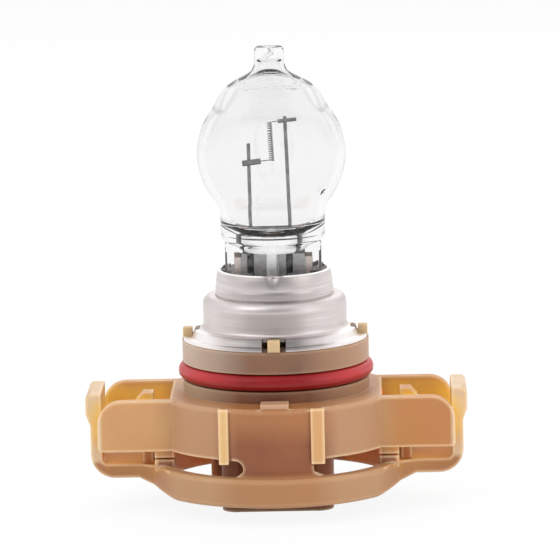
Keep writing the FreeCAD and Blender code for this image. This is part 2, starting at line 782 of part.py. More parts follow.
def glass_profile(radius, neck):
    """Crown, ball and neck of the glass at one distance through its wall, from the top down."""
    crown_x = f"(crown_half_width * {radius} / bulb_radius)"
    shoulder_x = f"((crown_half_width + crown_step) * {radius} / bulb_radius)"
    share = f"({radius} / blend_reach)"
    return [
        (crown_x, f"crown_centre + sqrt({radius}^2 - {crown_x}^2)", "0", "crown_centre"),
        (shoulder_x, f"bulb_centre + sqrt({radius}^2 - {shoulder_x}^2)"),
        (radius, "bulb_centre", "0", "bulb_centre"),
        (f"blend_offset * {share}", f"bulb_centre - (bulb_centre - blend_level) * {share}",
         "0", "bulb_centre"),
        (neck, "blend_level", "blend_offset", "blend_level"),
    ]


def place_cylinder(label, radius, height, x, y, z):
    """An upright round rod."""
    rod = doc.addObject("Part::Cylinder", label)
    rod.Label = label
    bind(rod, Radius=radius, Height=height, Placement__Base__x=x, Placement__Base__y=y,
         Placement__Base__z=z)
    return rod


def make_posts():
    """The two stiff wires that stand in the glass floor and carry the filament; the long one leans."""
    short = place_cylinder("short_support_post", "post_radius", "coil_foot + short_post_rise - post_foot",
                           "-1 * left_post_offset", "post_depth", "post_foot")
    long = place_cylinder("long_support_post", "post_radius", "coil_top + long_post_rise - post_foot",
                          "right_post_offset", "long_post_depth", "post_foot")
    lean_left(long, "post_lean")
    return [short, long]


def lean_left(thing, angle):
    """Turn a piece about its foot so that its top goes to the left."""
    thing.Placement.Rotation = FreeCAD.Rotation(FreeCAD.Vector(0, -1, 0), 1)
    bind(thing, Placement__Rotation__Angle=angle)


def make_foils_and_leads():
    """Thin foils sealed in the pinch, and the wires from them down to the terminal blades."""
    pieces = []
    for side, x, depth in (("left", "-1 * left_post_offset", "post_depth"),
                           ("right", "right_post_offset", "long_post_depth")):
        face = f"({depth} + post_radius + fit_gap)"
        foil = doc.addObject("Part::Box", f"seal_foil_{side}")
        foil.Label = f"seal_foil_{side}"
        bind(foil, Length="foil_width", Width="foil_thickness", Height="foil_length",
             Placement__Base__x=f"{x} - foil_width / 2", Placement__Base__y=face,
             Placement__Base__z="foil_foot")
        lead = place_cylinder(f"lead_wire_{side}", "lead_radius", "foil_foot + foil_lap - blade_top",
                              x, f"{face} - fit_gap - lead_radius", "blade_top")
        pieces += [foil, lead]
    return pieces


def make_glass(blank, sealed):
    """The finished glass: the blank with the room that the sealed metal takes up."""
    metal = doc.addObject("Part::Compound", "sealed_metal")
    metal.Links = sealed
    glass = doc.addObject("Part::Cut", "glass_envelope")
    glass.Label = "glass_envelope"
    glass.Base = blank
    glass.Tool = metal
    return glass


def tilted_rod(label, radius, length, x, y, z):
    """A round rod that runs to the right and up at the clamps' tilt, from a given point."""
    rod = place_cylinder(label, radius, length, x, y, z)
    rod.Placement.Rotation = FreeCAD.Rotation(FreeCAD.Vector(0, 1, 0), 90)
    bind(rod, Placement__Rotation__Angle="90 - clamp_tilt")
    return rod


def make_clamp(label, radius, x, z):
    """A crimped sleeve across the top of a post, with a bore for the filament's leg."""
    tube = doc.addObject("Part::Cut", label)
    tube.Label = label
    tube.Base = tilted_rod(f"{label}_rod", radius, "clamp_length", x, "0", z)
    tube.Tool = tilted_rod(f"{label}_bore", "wire_thickness / 2 + fit_gap", "clamp_length", x, "0", z)
    return tube


def make_filament():
    """The coiled filament with its straight legs, and the two clamps that hold them."""
    coil = new_body("coil_turns_body")
    section = new_sketch(coil, "XZ_Plane", "wire_section")
    half = "wire_thickness / 2"
    draw_outline(section, box_corners(f"coil_radius - {half}", f"coil_radius + {half}",
                                      f"-1 * {half}", half))
    turns = add_feature(coil, "AdditiveHelix", section, "turns", ReferenceAxis=(section, ["V_Axis"]),
                        Mode="pitch-turns-angle")
    bind(turns, Pitch="coil_pitch", Turns="coil_turns")
    bind(coil, Placement__Base__x="coil_offset", Placement__Base__z="coil_foot")
    lean_left(coil, "coil_tilt")
    run, climb = "cos(clamp_tilt)", "tan(clamp_tilt)"
    lower_x, lower_z = "(coil_offset - coil_radius)", "(coil_foot + coil_pitch / 2)"
    upper_x = "(coil_offset + coil_radius - (coil_top - coil_foot) * tan(coil_tilt))"
    upper_z = "coil_top"
    long_post_x = "(right_post_offset - (coil_top - post_foot) * tan(post_lean))"
    lower_start = f"(-1 * left_post_offset - lower_clamp_overhang * {run})"
    lower_entry = f"({lower_start} + (clamp_length - leg_entry) * {run})"
    upper_start = f"({long_post_x} - (clamp_length - upper_clamp_overhang) * {run})"
    legs = [
        tilted_rod("lower_leg", half, f"({lower_x} - {lower_entry}) / {run}",
                   lower_entry, "0", f"{lower_z} - ({lower_x} - {lower_entry}) * {climb}"),
        tilted_rod("upper_leg", half, f"({upper_start} - {upper_x}) / {run} + leg_entry",
                   upper_x, "0", upper_z),
    ]
    filament = doc.addObject("Part::MultiFuse", "filament_coil")
    filament.Label = "filament_coil"
    filament.Shapes = [coil, *legs]
    lower = make_clamp("lower_filament_clamp", "lower_clamp_radius",
                       lower_start, f"{lower_z} - ({lower_x} - {lower_start}) * {climb}")
    upper = make_clamp("upper_filament_clamp", "upper_clamp_radius",
                       upper_start, f"{upper_z} + ({upper_start} - {upper_x}) * {climb}")
    return [filament, lower, upper]


def make_blades():
    """The two flat terminal blades, tapered at their tips, that pass up through the socket's floor."""
    blades = []
    for side, sign in (("left", -1), ("right", 1)):
        body = new_body(f"terminal_blade_{side}")
        sketch = new_sketch(body, "XZ_Plane", f"{side}_blade_outline")
        near, far = "(blade_offset - blade_width / 2)", "(blade_offset + blade_width / 2)"
        tip = "(blade_recess + 2 * blade_taper)"
        draw_outline(sketch, [(f"{sign} * {x}", z) for x, z in (
            (f"({near} + blade_taper)", "blade_recess"),
            (f"({far} - blade_taper)", "blade_recess"),
            (far, tip),
            (far, "blade_top"),
            (near, "blade_top"),
            (near, tip),
        )])
        pad(body, sketch, f"{side}_blade", "blade_thickness", SideType="Symmetric")
        blades.append(body)
    return blades


def main():
    """Build every piece, check the document and write one STEP file for each piece."""
    nodes = [make_base_moulding(), make_seal(), make_cup(), make_sleeve(), make_clip()]
    posts = make_posts()
    foils_and_leads = make_foils_and_leads()
    blank = make_envelope()
    nodes += posts + foils_and_leads
    nodes.append(make_glass(blank, posts + foils_and_leads))
    nodes += make_filament()
    nodes += make_blades()
    doc.recompute()
    for thing in doc.Objects:
        if {"Invalid", "Error"} & set(thing.State):
            raise RuntimeError(f"{thing.Label} failed: {thing.State}")
    os.makedirs("parts", exist_ok=True)
    for node in nodes:
        shape = node.Shape
        if shape.isNull() or not shape.isValid() or not shape.Solids:
            raise RuntimeError(f"{node.Label} has no sound shape")
        print(f"{node.Label}: {len(shape.Solids)} solid, {shape.Volume:.2f} mm3")
    for node in nodes:
        node.Shape.exportStep(f"parts/{node.Label}.step")


main()
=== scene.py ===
"""Looks of a halogen car bulb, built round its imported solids.

Every length in the making is in millimetres and is turned to metres as a piece is finished. +Z points up
the bulb's axis, -Y is the front.
"""

import math

import bmesh
import bpy
from mathutils import Matrix, Vector


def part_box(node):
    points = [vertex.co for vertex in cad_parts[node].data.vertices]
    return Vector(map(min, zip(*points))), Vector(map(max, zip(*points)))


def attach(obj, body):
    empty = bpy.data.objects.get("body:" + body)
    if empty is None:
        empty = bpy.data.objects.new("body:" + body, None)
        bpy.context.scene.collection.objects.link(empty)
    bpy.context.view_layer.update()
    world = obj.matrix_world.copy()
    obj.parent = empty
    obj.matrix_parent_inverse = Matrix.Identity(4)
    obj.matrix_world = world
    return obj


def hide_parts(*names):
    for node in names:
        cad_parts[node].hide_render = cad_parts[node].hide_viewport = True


MM = 0.001
BODY = "root"

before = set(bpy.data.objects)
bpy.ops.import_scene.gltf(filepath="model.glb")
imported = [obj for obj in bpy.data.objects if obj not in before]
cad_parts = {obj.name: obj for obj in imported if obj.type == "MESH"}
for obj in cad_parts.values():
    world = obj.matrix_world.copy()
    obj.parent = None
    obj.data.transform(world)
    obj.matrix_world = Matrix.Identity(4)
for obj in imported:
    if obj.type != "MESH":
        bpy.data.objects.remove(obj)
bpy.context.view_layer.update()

# Camera, room, lamps and floor

CAMERA_PLACE = Vector((10.04, -449.9, 96.7))
CAMERA_AIM = Vector((0.62, 0.0, 23.6))
CAMERA_LEAN = 1.3
CAMERA_LENS = 278.4
LAMP_AIM = Vector((0.0, 0.0, 22.0))
SOFT_LIGHT = 0.86
FLOOR_WHITE_SHARE = 0.9
SATIN_WINDOWS = (
    ((-0.535, -0.535, 0.654), 0.9),
    ((0.782, -0.506, 0.363), 0.7),
    ((0.146, 0.803, 0.579), 0.6),
)
WINDOW_EDGE = (0.9, 0.97)
PANEL_SHADE = 0.82
FLOOR_HALF_WIDTH = 3.0
LAMP_SIZE = 260.0
LAMPS = (
    ("key_lamp", (-260.0, -260.0, 340.0), 0.7),
    ("fill_lamp", (340.0, -220.0, 180.0), 0.5),
    ("rear_lamp", (60.0, 330.0, 260.0), 0.6),
)


def aim(thing, place, target, lean=0.0):
    """Put a camera or lamp at a place, looking at a target, turned about its own line of sight."""
    turn = (target - place).to_track_quat("-Z", "Y").to_matrix().to_4x4()
    roll = Matrix.Rotation(math.radians(lean), 4, "Z")
    thing.matrix_world = Matrix.Translation(place * MM) @ turn @ roll


def make_camera():
    """The camera at the photograph's viewing angle, leaning a little to the right."""
    lens = bpy.data.cameras.new("camera")
    lens.lens = CAMERA_LENS
    lens.sensor_width = 36.0
    lens.clip_start = 0.01
    lens.clip_end = 10.0
    camera = bpy.data.objects.new("camera", lens)
    bpy.context.scene.collection.objects.link(camera)
    aim(camera, CAMERA_PLACE, CAMERA_AIM, -CAMERA_LEAN)
    bpy.context.scene.camera = camera


def make_lamp(name, place, power):
    """A soft square lamp aimed at the middle of the bulb."""
    light = bpy.data.lights.new(name, "AREA")
    light.shape = "SQUARE"
    light.size = LAMP_SIZE * MM
    light.energy = power
    lamp = bpy.data.objects.new(name, light)
    bpy.context.scene.collection.objects.link(lamp)
    lamp.visible_glossy = False
    lamp.visible_transmission = False
    aim(lamp, Vector(place), LAMP_AIM)


def new_nodes(name):
    """An empty material and its nodes."""
    material = bpy.data.materials.new(name)
    material.use_nodes = True
    material.node_tree.nodes.clear()
    return material, material.node_tree


def add_node(tree, kind, values=None, **settings):
    """One node with its settings and the values of its inputs."""
    node = tree.nodes.new(kind)
    for setting, choice in settings.items():
        setattr(node, setting, choice)
    for socket, number in (values or {}).items():
        node.inputs[socket].default_value = number
    return node


def feed(tree, socket, given):
    """Lead another socket, or set a number or colour, into a socket."""
    if isinstance(given, bpy.types.NodeSocket):
        tree.links.new(given, socket)
    else:
        socket.default_value = given


def calculate(tree, operation, first, second=0.0, clamp=False):
    """One step of arithmetic on two numbers or sockets."""
    node = add_node(tree, "ShaderNodeMath", operation=operation, use_clamp=clamp)
    feed(tree, node.inputs[0], first)
    feed(tree, node.inputs[1], second)
    return node.outputs[0]


def ramp(tree, source, low, high, low_to=0.0, high_to=1.0):
    """A number spread from one range over another, held at its ends."""
    node = add_node(tree, "ShaderNodeMapRange", {"From Min": low, "From Max": high,
                                                "To Min": low_to, "To Max": high_to})
    tree.links.new(source, node.inputs["Value"])
    return node.outputs[0]


def choose(tree, factor, low, high):
    """A number between two, as the factor says."""
    mix = add_node(tree, "ShaderNodeMix", data_type="FLOAT")
    tree.links.new(factor, mix.inputs["Factor"])
    feed(tree, mix.inputs["A"], low)
    feed(tree, mix.inputs["B"], high)
    return mix.outputs["Result"]


def any_ray(tree, *kinds):
    """One where the ray is of any of these kinds, otherwise zero."""
    path = add_node(tree, "ShaderNodeLightPath")
    found = path.outputs[kinds[0]]
    for kind in kinds[1:]:
        found = calculate(tree, "MAXIMUM", found, path.outputs[kind])
    return found


def finish_surface(tree, shader):
    """Lead a shader to the surface."""
    out = add_node(tree, "ShaderNodeOutputMaterial")
    tree.links.new(shader, out.inputs["Surface"])


def stripes(tree, turn, count, low, high):
    """Upright soft stripes round the room, a little darker than the rest of it."""
    wave = calculate(tree, "COSINE", calculate(tree, "MULTIPLY", turn, count))
    return ramp(tree, wave, low, high, PANEL_SHADE, 1.0)


def make_world():
    """White to the camera, a soft room in satin gloss, faint panels in glass, and a plain soft light."""
    world = bpy.data.worlds.new("studio")
    world.use_nodes = True
    tree = world.node_tree
    tree.nodes.clear()
    place = add_node(tree, "ShaderNodeTexCoord")
    split = add_node(tree, "ShaderNodeSeparateXYZ")
    tree.links.new(place.outputs["Generated"], split.inputs[0])
    forward = split.outputs["Y"]
    upward = split.outputs["Z"]
    turn = calculate(tree, "ARCTAN2", split.outputs["X"], forward)
    above = ramp(tree, upward, 0.35, 0.75, 1.0, 0.9)
    glass_room = calculate(tree, "MULTIPLY", stripes(tree, turn, 8.0, -0.9, -0.3), above)
    front = ramp(tree, forward, -1.0, -0.35, 0.25, 1.0)
    satin_room = calculate(tree, "MULTIPLY", front, stripes(tree, turn, 6.0, -1.0, 0.4))
    for direction, strength in SATIN_WINDOWS:
        facing = add_node(tree, "ShaderNodeVectorMath", {1: direction}, operation="DOT_PRODUCT")
        tree.links.new(place.outputs["Generated"], facing.inputs[0])
        glow = ramp(tree, facing.outputs["Value"], *WINDOW_EDGE, 0.0, strength)
        satin_room = calculate(tree, "ADD", satin_room, glow)
    soft_front = ramp(tree, forward, -1.0, -0.1, 0.66 * SOFT_LIGHT, SOFT_LIGHT)
    soft_below = ramp(tree, upward, -0.5, 0.2, 0.75, 1.0)
    soft_room = calculate(tree, "MULTIPLY", soft_front, soft_below)
    light = choose(tree, any_ray(tree, "Is Glossy Ray", "Is Transmission Ray"), soft_room, satin_room)
    light = choose(tree, any_ray(tree, "Is Singular Ray"), light, glass_room)
    light = choose(tree, any_ray(tree, "Is Camera Ray"), light, 1.0)
    sky = add_node(tree, "ShaderNodeBackground", {"Color": (1.0, 1.0, 1.0, 1.0)})
    tree.links.new(light, sky.inputs["Strength"])
    out = add_node(tree, "ShaderNodeOutputWorld")
    tree.links.new(sky.outputs[0], out.inputs["Surface"])
    bpy.context.scene.world = world


def make_floor():
    """A plain pale floor that keeps a soft shadow."""
    material, tree = new_nodes("floor_white")
    matt = add_node(tree, "ShaderNodeBsdfDiffuse", {"Color": (0.92, 0.92, 0.92, 1.0)})
    white = add_node(tree, "ShaderNodeEmission", {"Color": (1.0, 1.0, 1.0, 1.0), "Strength": 1.0})
    shown = any_ray(tree, "Is Camera Ray", "Is Glossy Ray", "Is Transmission Ray")
    mix = add_node(tree, "ShaderNodeMixShader")
    tree.links.new(calculate(tree, "MULTIPLY", shown, FLOOR_WHITE_SHARE), mix.inputs[0])
    tree.links.new(matt.outputs[0], mix.inputs[1])
    tree.links.new(white.outputs[0], mix.inputs[2])
    finish_surface(tree, mix.outputs[0])
    form = bmesh.new()
    bmesh.ops.create_grid(form, x_segments=1, y_segments=1, size=FLOOR_HALF_WIDTH)
    mesh = bpy.data.meshes.new("floor")
    form.to_mesh(mesh)
    form.free()
    floor = bpy.data.objects.new("floor", mesh)
    mesh.materials.append(material)
    bpy.context.scene.collection.objects.link(floor)


# Effects that several materials use


def new_group(name, inputs, outputs):
    """A shader node group with named inputs and outputs."""
    group = bpy.data.node_groups.new(name, "ShaderNodeTree")
    for label, kind, number in inputs:
        socket = group.interface.new_socket(label, in_out="INPUT", socket_type=kind)
        socket.default_value = number
    for label, kind in outputs:
        group.interface.new_socket(label, in_out="OUTPUT", socket_type=kind)
    return group, add_node(group, "NodeGroupInput"), add_node(group, "NodeGroupOutput")


def make_mottle():
    """Soft unevenness of a surface: a mask about one half, and a normal from fine grain."""
    group, given, out = new_group("surface_mottle", [
        ("Patch Scale", "NodeSocketFloat", 400.0),
        ("Grain Scale", "NodeSocketFloat", 4000.0),
        ("Grain Depth", "NodeSocketFloat", 0.1),
    ], [("Mask", "NodeSocketFloat"), ("Normal", "NodeSocketVector")])
    place = add_node(group, "ShaderNodeTexCoord")
    patch = add_node(group, "ShaderNodeTexNoise", {"Detail": 3.0, "Roughness": 0.55})
    grain = add_node(group, "ShaderNodeTexNoise", {"Detail": 4.0, "Roughness": 0.6})
    bump = add_node(group, "ShaderNodeBump", {"Distance": 0.02 * MM})
    for node, scale in ((patch, "Patch Scale"), (grain, "Grain Scale")):
        group.links.new(place.outputs["Object"], node.inputs["Vector"])
        group.links.new(given.outputs[scale], node.inputs["Scale"])
    group.links.new(given.outputs["Grain Depth"], bump.inputs["Strength"])
    group.links.new(grain.outputs["Fac"], bump.inputs["Height"])
    group.links.new(patch.outputs["Fac"], out.inputs["Mask"])
    group.links.new(bump.outputs[0], out.inputs["Normal"])
    return group


def make_edge_mask():
    """One along the outer edges of a piece, where there is little stuff behind the surface."""
    group, given, out = new_group("outer_edges", [
        ("Width", "NodeSocketFloat", 0.3 * MM),
        ("Sharpness", "NodeSocketFloat", 2.0),
    ], [("Mask", "NodeSocketFloat")])
    behind = add_node(group, "ShaderNodeAmbientOcclusion", inside=True, only_local=True, samples=8)
    group.links.new(given.outputs["Width"], behind.inputs["Distance"])
    lack = calculate(group, "SUBTRACT", 0.95, behind.outputs["AO"], clamp=True)
    gain = calculate(group, "MULTIPLY", lack, given.outputs["Sharpness"], clamp=True)
    group.links.new(gain, out.inputs["Mask"])
    return group


def make_hollow_mask():
    """One deep in the hollows of a piece and zero on its open faces."""
    group, given, out = new_group("deep_hollows", [
        ("Reach", "NodeSocketFloat", 5.0 * MM),
    ], [("Mask", "NodeSocketFloat")])
    around = add_node(group, "ShaderNodeAmbientOcclusion", only_local=True, samples=8)
    group.links.new(given.outputs["Reach"], around.inputs["Distance"])
    group.links.new(ramp(group, around.outputs["AO"], 0.88, 0.58), out.inputs["Mask"])
    return group


def make_turned_lines():
    """Fine lines that run round the axis, as rolling or turning leaves on metal."""
    group, given, out = new_group("turned_lines", [
        ("Line Scale", "NodeSocketFloat", 6000.0),
        ("Depth", "NodeSocketFloat", 0.15),
    ], [("Mask", "NodeSocketFloat"), ("Normal", "NodeSocketVector")])
    place = add_node(group, "ShaderNodeTexCoord")
    squeeze = add_node(group, "ShaderNodeVectorMath", {1: (0.02, 0.02, 1.0)}, operation="MULTIPLY")
    lines = add_node(group, "ShaderNodeTexNoise", {"Detail": 3.0, "Roughness": 0.6})
    bump = add_node(group, "ShaderNodeBump", {"Distance": 0.01 * MM})
    group.links.new(place.outputs["Object"], squeeze.inputs[0])
    group.links.new(squeeze.outputs[0], lines.inputs["Vector"])
    group.links.new(given.outputs["Line Scale"], lines.inputs["Scale"])
    group.links.new(given.outputs["Depth"], bump.inputs["Strength"])
    group.links.new(lines.outputs["Fac"], bump.inputs["Height"])
    group.links.new(lines.outputs["Fac"], out.inputs["Mask"])
    group.links.new(bump.outputs[0], out.inputs["Normal"])
    return group


def use_group(tree, group, **values):
    """A placed node group with its own values; an underscore in a name stands for a space."""
    node = add_node(tree, "ShaderNodeGroup")
    node.node_tree = group
    for label, number in values.items():
        node.inputs[label.replace("_", " ")].default_value = number
    return node


# Materials

MASK_RANGE = (0.3, 0.7)


def colour(red, green, blue):
    """A colour given as it shows on screen, 0 to 255, as linear light."""
    def linear(number):
        part = number / 255.0
        return part / 12.92 if part <= 0.04045 else ((part + 0.055) / 1.055) ** 2.4
    return (linear(red), linear(green), linear(blue), 1.0)


def blend_colours(tree, factor, low, high):
    """A colour between two, each a colour or a socket, as the factor says."""
    mix = add_node(tree, "ShaderNodeMix", data_type="RGBA")
    sockets = [socket for socket in mix.inputs if socket.type == "RGBA"]
    tree.links.new(factor, mix.inputs["Factor"])
    for socket, given in zip(sockets, (low, high)):
        feed(tree, socket, given)
    return [socket for socket in mix.outputs if socket.type == "RGBA"][0]


def where(tree):
    """The place on the piece: across, depth, height and distance from the axis."""
    place = add_node(tree, "ShaderNodeTexCoord")
    split = add_node(tree, "ShaderNodeSeparateXYZ")
    flat = add_node(tree, "ShaderNodeVectorMath", {1: (1.0, 1.0, 0.0)}, operation="MULTIPLY")
    length = add_node(tree, "ShaderNodeVectorMath", operation="LENGTH")
    tree.links.new(place.outputs["Object"], split.inputs[0])
    tree.links.new(place.outputs["Object"], flat.inputs[0])
    tree.links.new(flat.outputs[0], length.inputs[0])
    return split.outputs["X"], split.outputs["Y"], split.outputs["Z"], length.outputs["Value"]


def span(tree, source, first, last):
    """Zero to one as a length runs from one number of millimetres to another."""
    return ramp(tree, source, first * MM, last * MM)


def overlap(tree, *masks):
    """One only where all of these masks are one."""
    found = masks[0]
    for mask in masks[1:]:
        found = calculate(tree, "MULTIPLY", found, mask)
    return found


def between(tree, source, low, high, soft):
    """One where a length lies between two numbers of millimetres, with soft ends."""
    rise = span(tree, source, low - soft, low + soft)
    fall = span(tree, source, high + soft, high - soft)
    return overlap(tree, rise, fall)


def size_of(tree, source):
    """A number without its sign."""
    return calculate(tree, "ABSOLUTE", source)


def layered(tree, whole, *layers):
    """A colour with others laid over it, each through its mask."""
    for mask, over in layers:
        whole = blend_colours(tree, mask, whole, over)
    return whole


def finish_opaque(tree, base, mask, rough, normal, values):
    """A surface whose roughness runs between two numbers as its mask does; gives its shader back."""
    shader = add_node(tree, "ShaderNodeBsdfPrincipled", values)
    tree.links.new(base, shader.inputs["Base Color"])
    tree.links.new(ramp(tree, mask, *MASK_RANGE, *rough), shader.inputs["Roughness"])
    tree.links.new(normal, shader.inputs["Normal"])
    finish_surface(tree, shader.outputs[0])
    return shader


# Where the base changes colour, in millimetres aside from its middle, up, or out from the axis
MIDDLE_END = (3.8, 6.6)
SIDE_START = (10.5, 12.5)
PANEL_START = (10.5, 13.0)
LATCH_START = (18.1, 18.5)
LEFT_TO_RIGHT = (-4.0, 4.0)
SOCKET_TOP = (1.9, 1.3)
RING_TOP = (5.4, 4.97)
RIB_FOOT = (5.2, 5.4)
FLANGE_TOP = (12.12, 12.2)
PIN_FOOT = (17.58, 17.66)
INNER_WALL = (12.5, 12.35)
OUTER_WALL = (12.72, 12.95)
BOSS_START = (9.9, 10.0)


def amber_plastic():
    """Moulded base, the core greyer; painted light makes the panels and ribs pale, the hollows glow orange
    and the outer edges bright; painted shade darkens the front middle and the core's middle.
    """
    material, tree = new_nodes("amber_plastic")
    across, depth, height, distance = where(tree)
    aside = size_of(tree, across)
    away = size_of(tree, depth)
    mottle = use_group(tree, surface_mottle, Patch_Scale=190.0, Grain_Scale=9000.0, Grain_Depth=0.1)
    edges = use_group(tree, outer_edges, Width=0.4 * MM, Sharpness=3.0)
    hollows = use_group(tree, deep_hollows, Reach=7.0 * MM)
    beside = span(tree, aside, *MIDDLE_END)
    sides = span(tree, aside, *SIDE_START)
    rightwards = span(tree, across, *LEFT_TO_RIGHT)

    # Painted shade: the front middle between the ribs is darker and redder, most of all low down, and the
    # part beside it lighter.
    middle = blend_colours(tree, span(tree, height, 8.3, 10.8), colour(132, 74, 44), colour(166, 110, 66))
    # Painted light: the panels are paler, as light passing through the walls, and the left panel lighter than
    # the right.
    panel = blend_colours(tree, span(tree, across, -2.0, 2.0), colour(204, 155, 104), colour(188, 127, 72))
    ring = layered(tree, colour(172, 125, 83), (beside, colour(184, 144, 106)), (sides, colour(166, 115, 71)))
    # Painted light: the inner walls of the ring's slots glow orange with light coming through the walls,
    # weaker towards the middle.
    walls = blend_colours(tree, span(tree, aside, 6.3, 7.3), colour(150, 82, 38), colour(255, 158, 66))
    inside = overlap(tree, span(tree, distance, *INNER_WALL), span(tree, height, 10.9, 10.7),
                     span(tree, height, 1.9, 2.2))
    # Painted light: deep in the hollows at the sides, an orange glow of light coming through the walls, paler
    # higher up.
    orange = blend_colours(tree, span(tree, height, 6.5, 8.5), colour(224, 166, 80), colour(255, 214, 94))
    deep = overlap(tree, hollows.outputs["Mask"], span(tree, height, 12.4, 11.4), sides)
    skirt = layered(tree, middle,
                    (beside, colour(184, 142, 106)),
                    (span(tree, aside, *PANEL_START), panel),
                    (span(tree, aside, *LATCH_START), colour(219, 195, 162)),
                    (span(tree, height, *RING_TOP), ring),
                    # painted shade down in the socket
                    (span(tree, height, *SOCKET_TOP), colour(124, 74, 40)),
                    (inside, walls),
                    (deep, orange))

    # Painted light and shade on the core: its ends lighter than its middle and the left end paler than the
    # right, its foot darker under the seal as a painted shadow, and the flange top with its boss beyond the
    # core lighter.
    core_ends = blend_colours(tree, rightwards, colour(196, 180, 166), colour(182, 146, 118))
    foot_ends = blend_colours(tree, rightwards, colour(162, 146, 122), colour(158, 122, 92))
    foot = blend_colours(tree, span(tree, aside, 3.5, 8.0), colour(104, 62, 42), foot_ends)
    core = layered(tree, colour(120, 88, 68),
                   (span(tree, aside, 2.5, 9.5), core_ends),
                   (span(tree, height, 14.3, 13.3), foot),
                   (span(tree, distance, *BOSS_START), colour(192, 150, 120)))

    upper = overlap(tree, span(tree, height, *FLANGE_TOP), span(tree, aside, 11.5, 11.0))
    patches = calculate(tree, "MULTIPLY", ramp(tree, mottle.outputs["Mask"], *MASK_RANGE), 0.25)
    proud = overlap(tree, span(tree, distance, *OUTER_WALL), span(tree, aside, 7.3, 6.9),
                    span(tree, height, *RIB_FOOT))
    # Painted light: the ribs are paler than the wall, the left rib lighter than the right.
    ribs = blend_colours(tree, span(tree, across, -1.0, 1.0), colour(222, 181, 124), colour(212, 164, 110))
    # Painted shade: the faces of the stops and blocks low under the panels are darker, where they lie in
    # shade.
    stops = overlap(tree, between(tree, away, 5.75, 5.95, 0.03), between(tree, aside, 10.1, 12.4, 0.1),
                    between(tree, height, 4.9, 5.76, 0.04))
    blocks = overlap(tree, between(tree, away, 3.7, 3.9, 0.03), between(tree, aside, 12.5, 14.3, 0.1),
                     span(tree, height, 7.0, 6.6))
    # Painted highlight: a cream line along the outer edges, strong on the skirt and faint on the core.
    painted_edge_highlight = calculate(tree, "MULTIPLY", edges.outputs["Mask"], choose(tree, upper, 0.7, 0.15))
    whole = layered(tree, skirt,
                    (upper, core),
                    (patches, colour(186, 126, 84)),
                    (proud, ribs),
                    (span(tree, height, *PIN_FOOT), colour(202, 174, 132)),
                    (stops, colour(144, 88, 54)),
                    (blocks, colour(180, 112, 50)),
                    (painted_edge_highlight, colour(244, 215, 176)))
    shader = finish_opaque(tree, whole, mottle.outputs["Mask"], (0.42, 0.56), mottle.outputs["Normal"], {
        "IOR": 1.5, "Subsurface Weight": 0.25, "Subsurface Scale": 1.0 * MM})
    shader.inputs["Subsurface Radius"].default_value = (1.0, 0.5, 0.2)
    return material


def red_rubber(middle):
    """Seal ring: smooth red silicone with a soft shine, its sides painted paler as painted light and its
    lower half painted darker as painted shade.
    """
    material, tree = new_nodes("red_rubber")
    across, _, height, _ = where(tree)
    mottle = use_group(tree, surface_mottle, Patch_Scale=500.0, Grain_Scale=8000.0, Grain_Depth=0.06)
    patches = ramp(tree, mottle.outputs["Mask"], *MASK_RANGE)
    # Painted shade darkens the lower half of the ring, and painted light makes its sides paler.
    below = calculate(tree, "MULTIPLY", span(tree, height, middle + 0.1, middle - 0.35), 0.7)
    whole = layered(tree, colour(132, 12, 18),
                    (patches, colour(142, 18, 24)),
                    (span(tree, size_of(tree, across), 3.5, 7.8), colour(188, 50, 54)),
                    (below, colour(136, 18, 22)))
    finish_opaque(tree, whole, mottle.outputs["Mask"], (0.34, 0.42), mottle.outputs["Normal"], {"IOR": 1.42})
    return material


def collar_steel():
    """Cup and sleeve: rolled stainless sheet with fine lines round the axis; painted darker reflections
    across its front, painted highlights on its sides at the flare, and a pale matt inner face near the rim as
    painted light.
    """
    material, tree = new_nodes("collar_steel")
    lines = use_group(tree, turned_lines, Line_Scale=4200.0, Depth=0.3)
    mottle = use_group(tree, surface_mottle, Patch_Scale=260.0, Grain_Scale=5000.0, Grain_Depth=0.1)
    across, _, height, distance = where(tree)
    aside = size_of(tree, across)
    front = span(tree, aside, 6.4, 2.5)

    def front_band(low, high, soft, share):
        """A band of the front between two levels, mixed in by a share."""
        band = overlap(tree, front, between(tree, height, low, high, soft))
        return calculate(tree, "MULTIPLY", band, share)

    # Painted light: the inner face near the rim is pale and not metal, standing in for light on the shaded
    # inside of the sleeve.
    painted_light_inside = overlap(tree, span(tree, distance, 5.91, 5.87), span(tree, aside, 0.9, 1.3))
    whole = layered(tree, colour(232, 222, 220),
                    (ramp(tree, mottle.outputs["Mask"], 0.35, 0.65), colour(243, 237, 236)),
                    (ramp(tree, lines.outputs["Mask"], *MASK_RANGE, 0.0, 0.5), colour(190, 180, 178)),
                    # Painted reflection: darker bands across the front, at the flange, the cup wall, the
                    # joint and the sleeve.
                    (front_band(17.7, 18.75, 0.12, 0.85), colour(146, 141, 141)),
                    (front_band(23.3, 26.0, 0.25, 0.7), colour(190, 182, 180)),
                    (front_band(19.2, 21.2, 0.3, 0.7), colour(180, 168, 166)),
                    (front_band(22.1, 23.2, 0.15, 0.5), colour(150, 142, 142)),
                    # Painted highlights: lighter and white bands on the sides at one level of the flare.
                    (overlap(tree, span(tree, aside, 5.0, 6.8), span(tree, height, 18.9, 19.3)),
                     colour(222, 214, 212)),
                    (overlap(tree, span(tree, aside, 5.0, 7.0), span(tree, height, 18.9, 18.7)),
                     colour(255, 250, 248)),
                    (painted_light_inside, colour(250, 247, 245)))
    shader = finish_opaque(tree, whole, lines.outputs["Mask"], (0.34, 0.46), lines.outputs["Normal"], {})
    tree.links.new(calculate(tree, "SUBTRACT", 1.0, painted_light_inside), shader.inputs["Metallic"])
    return material


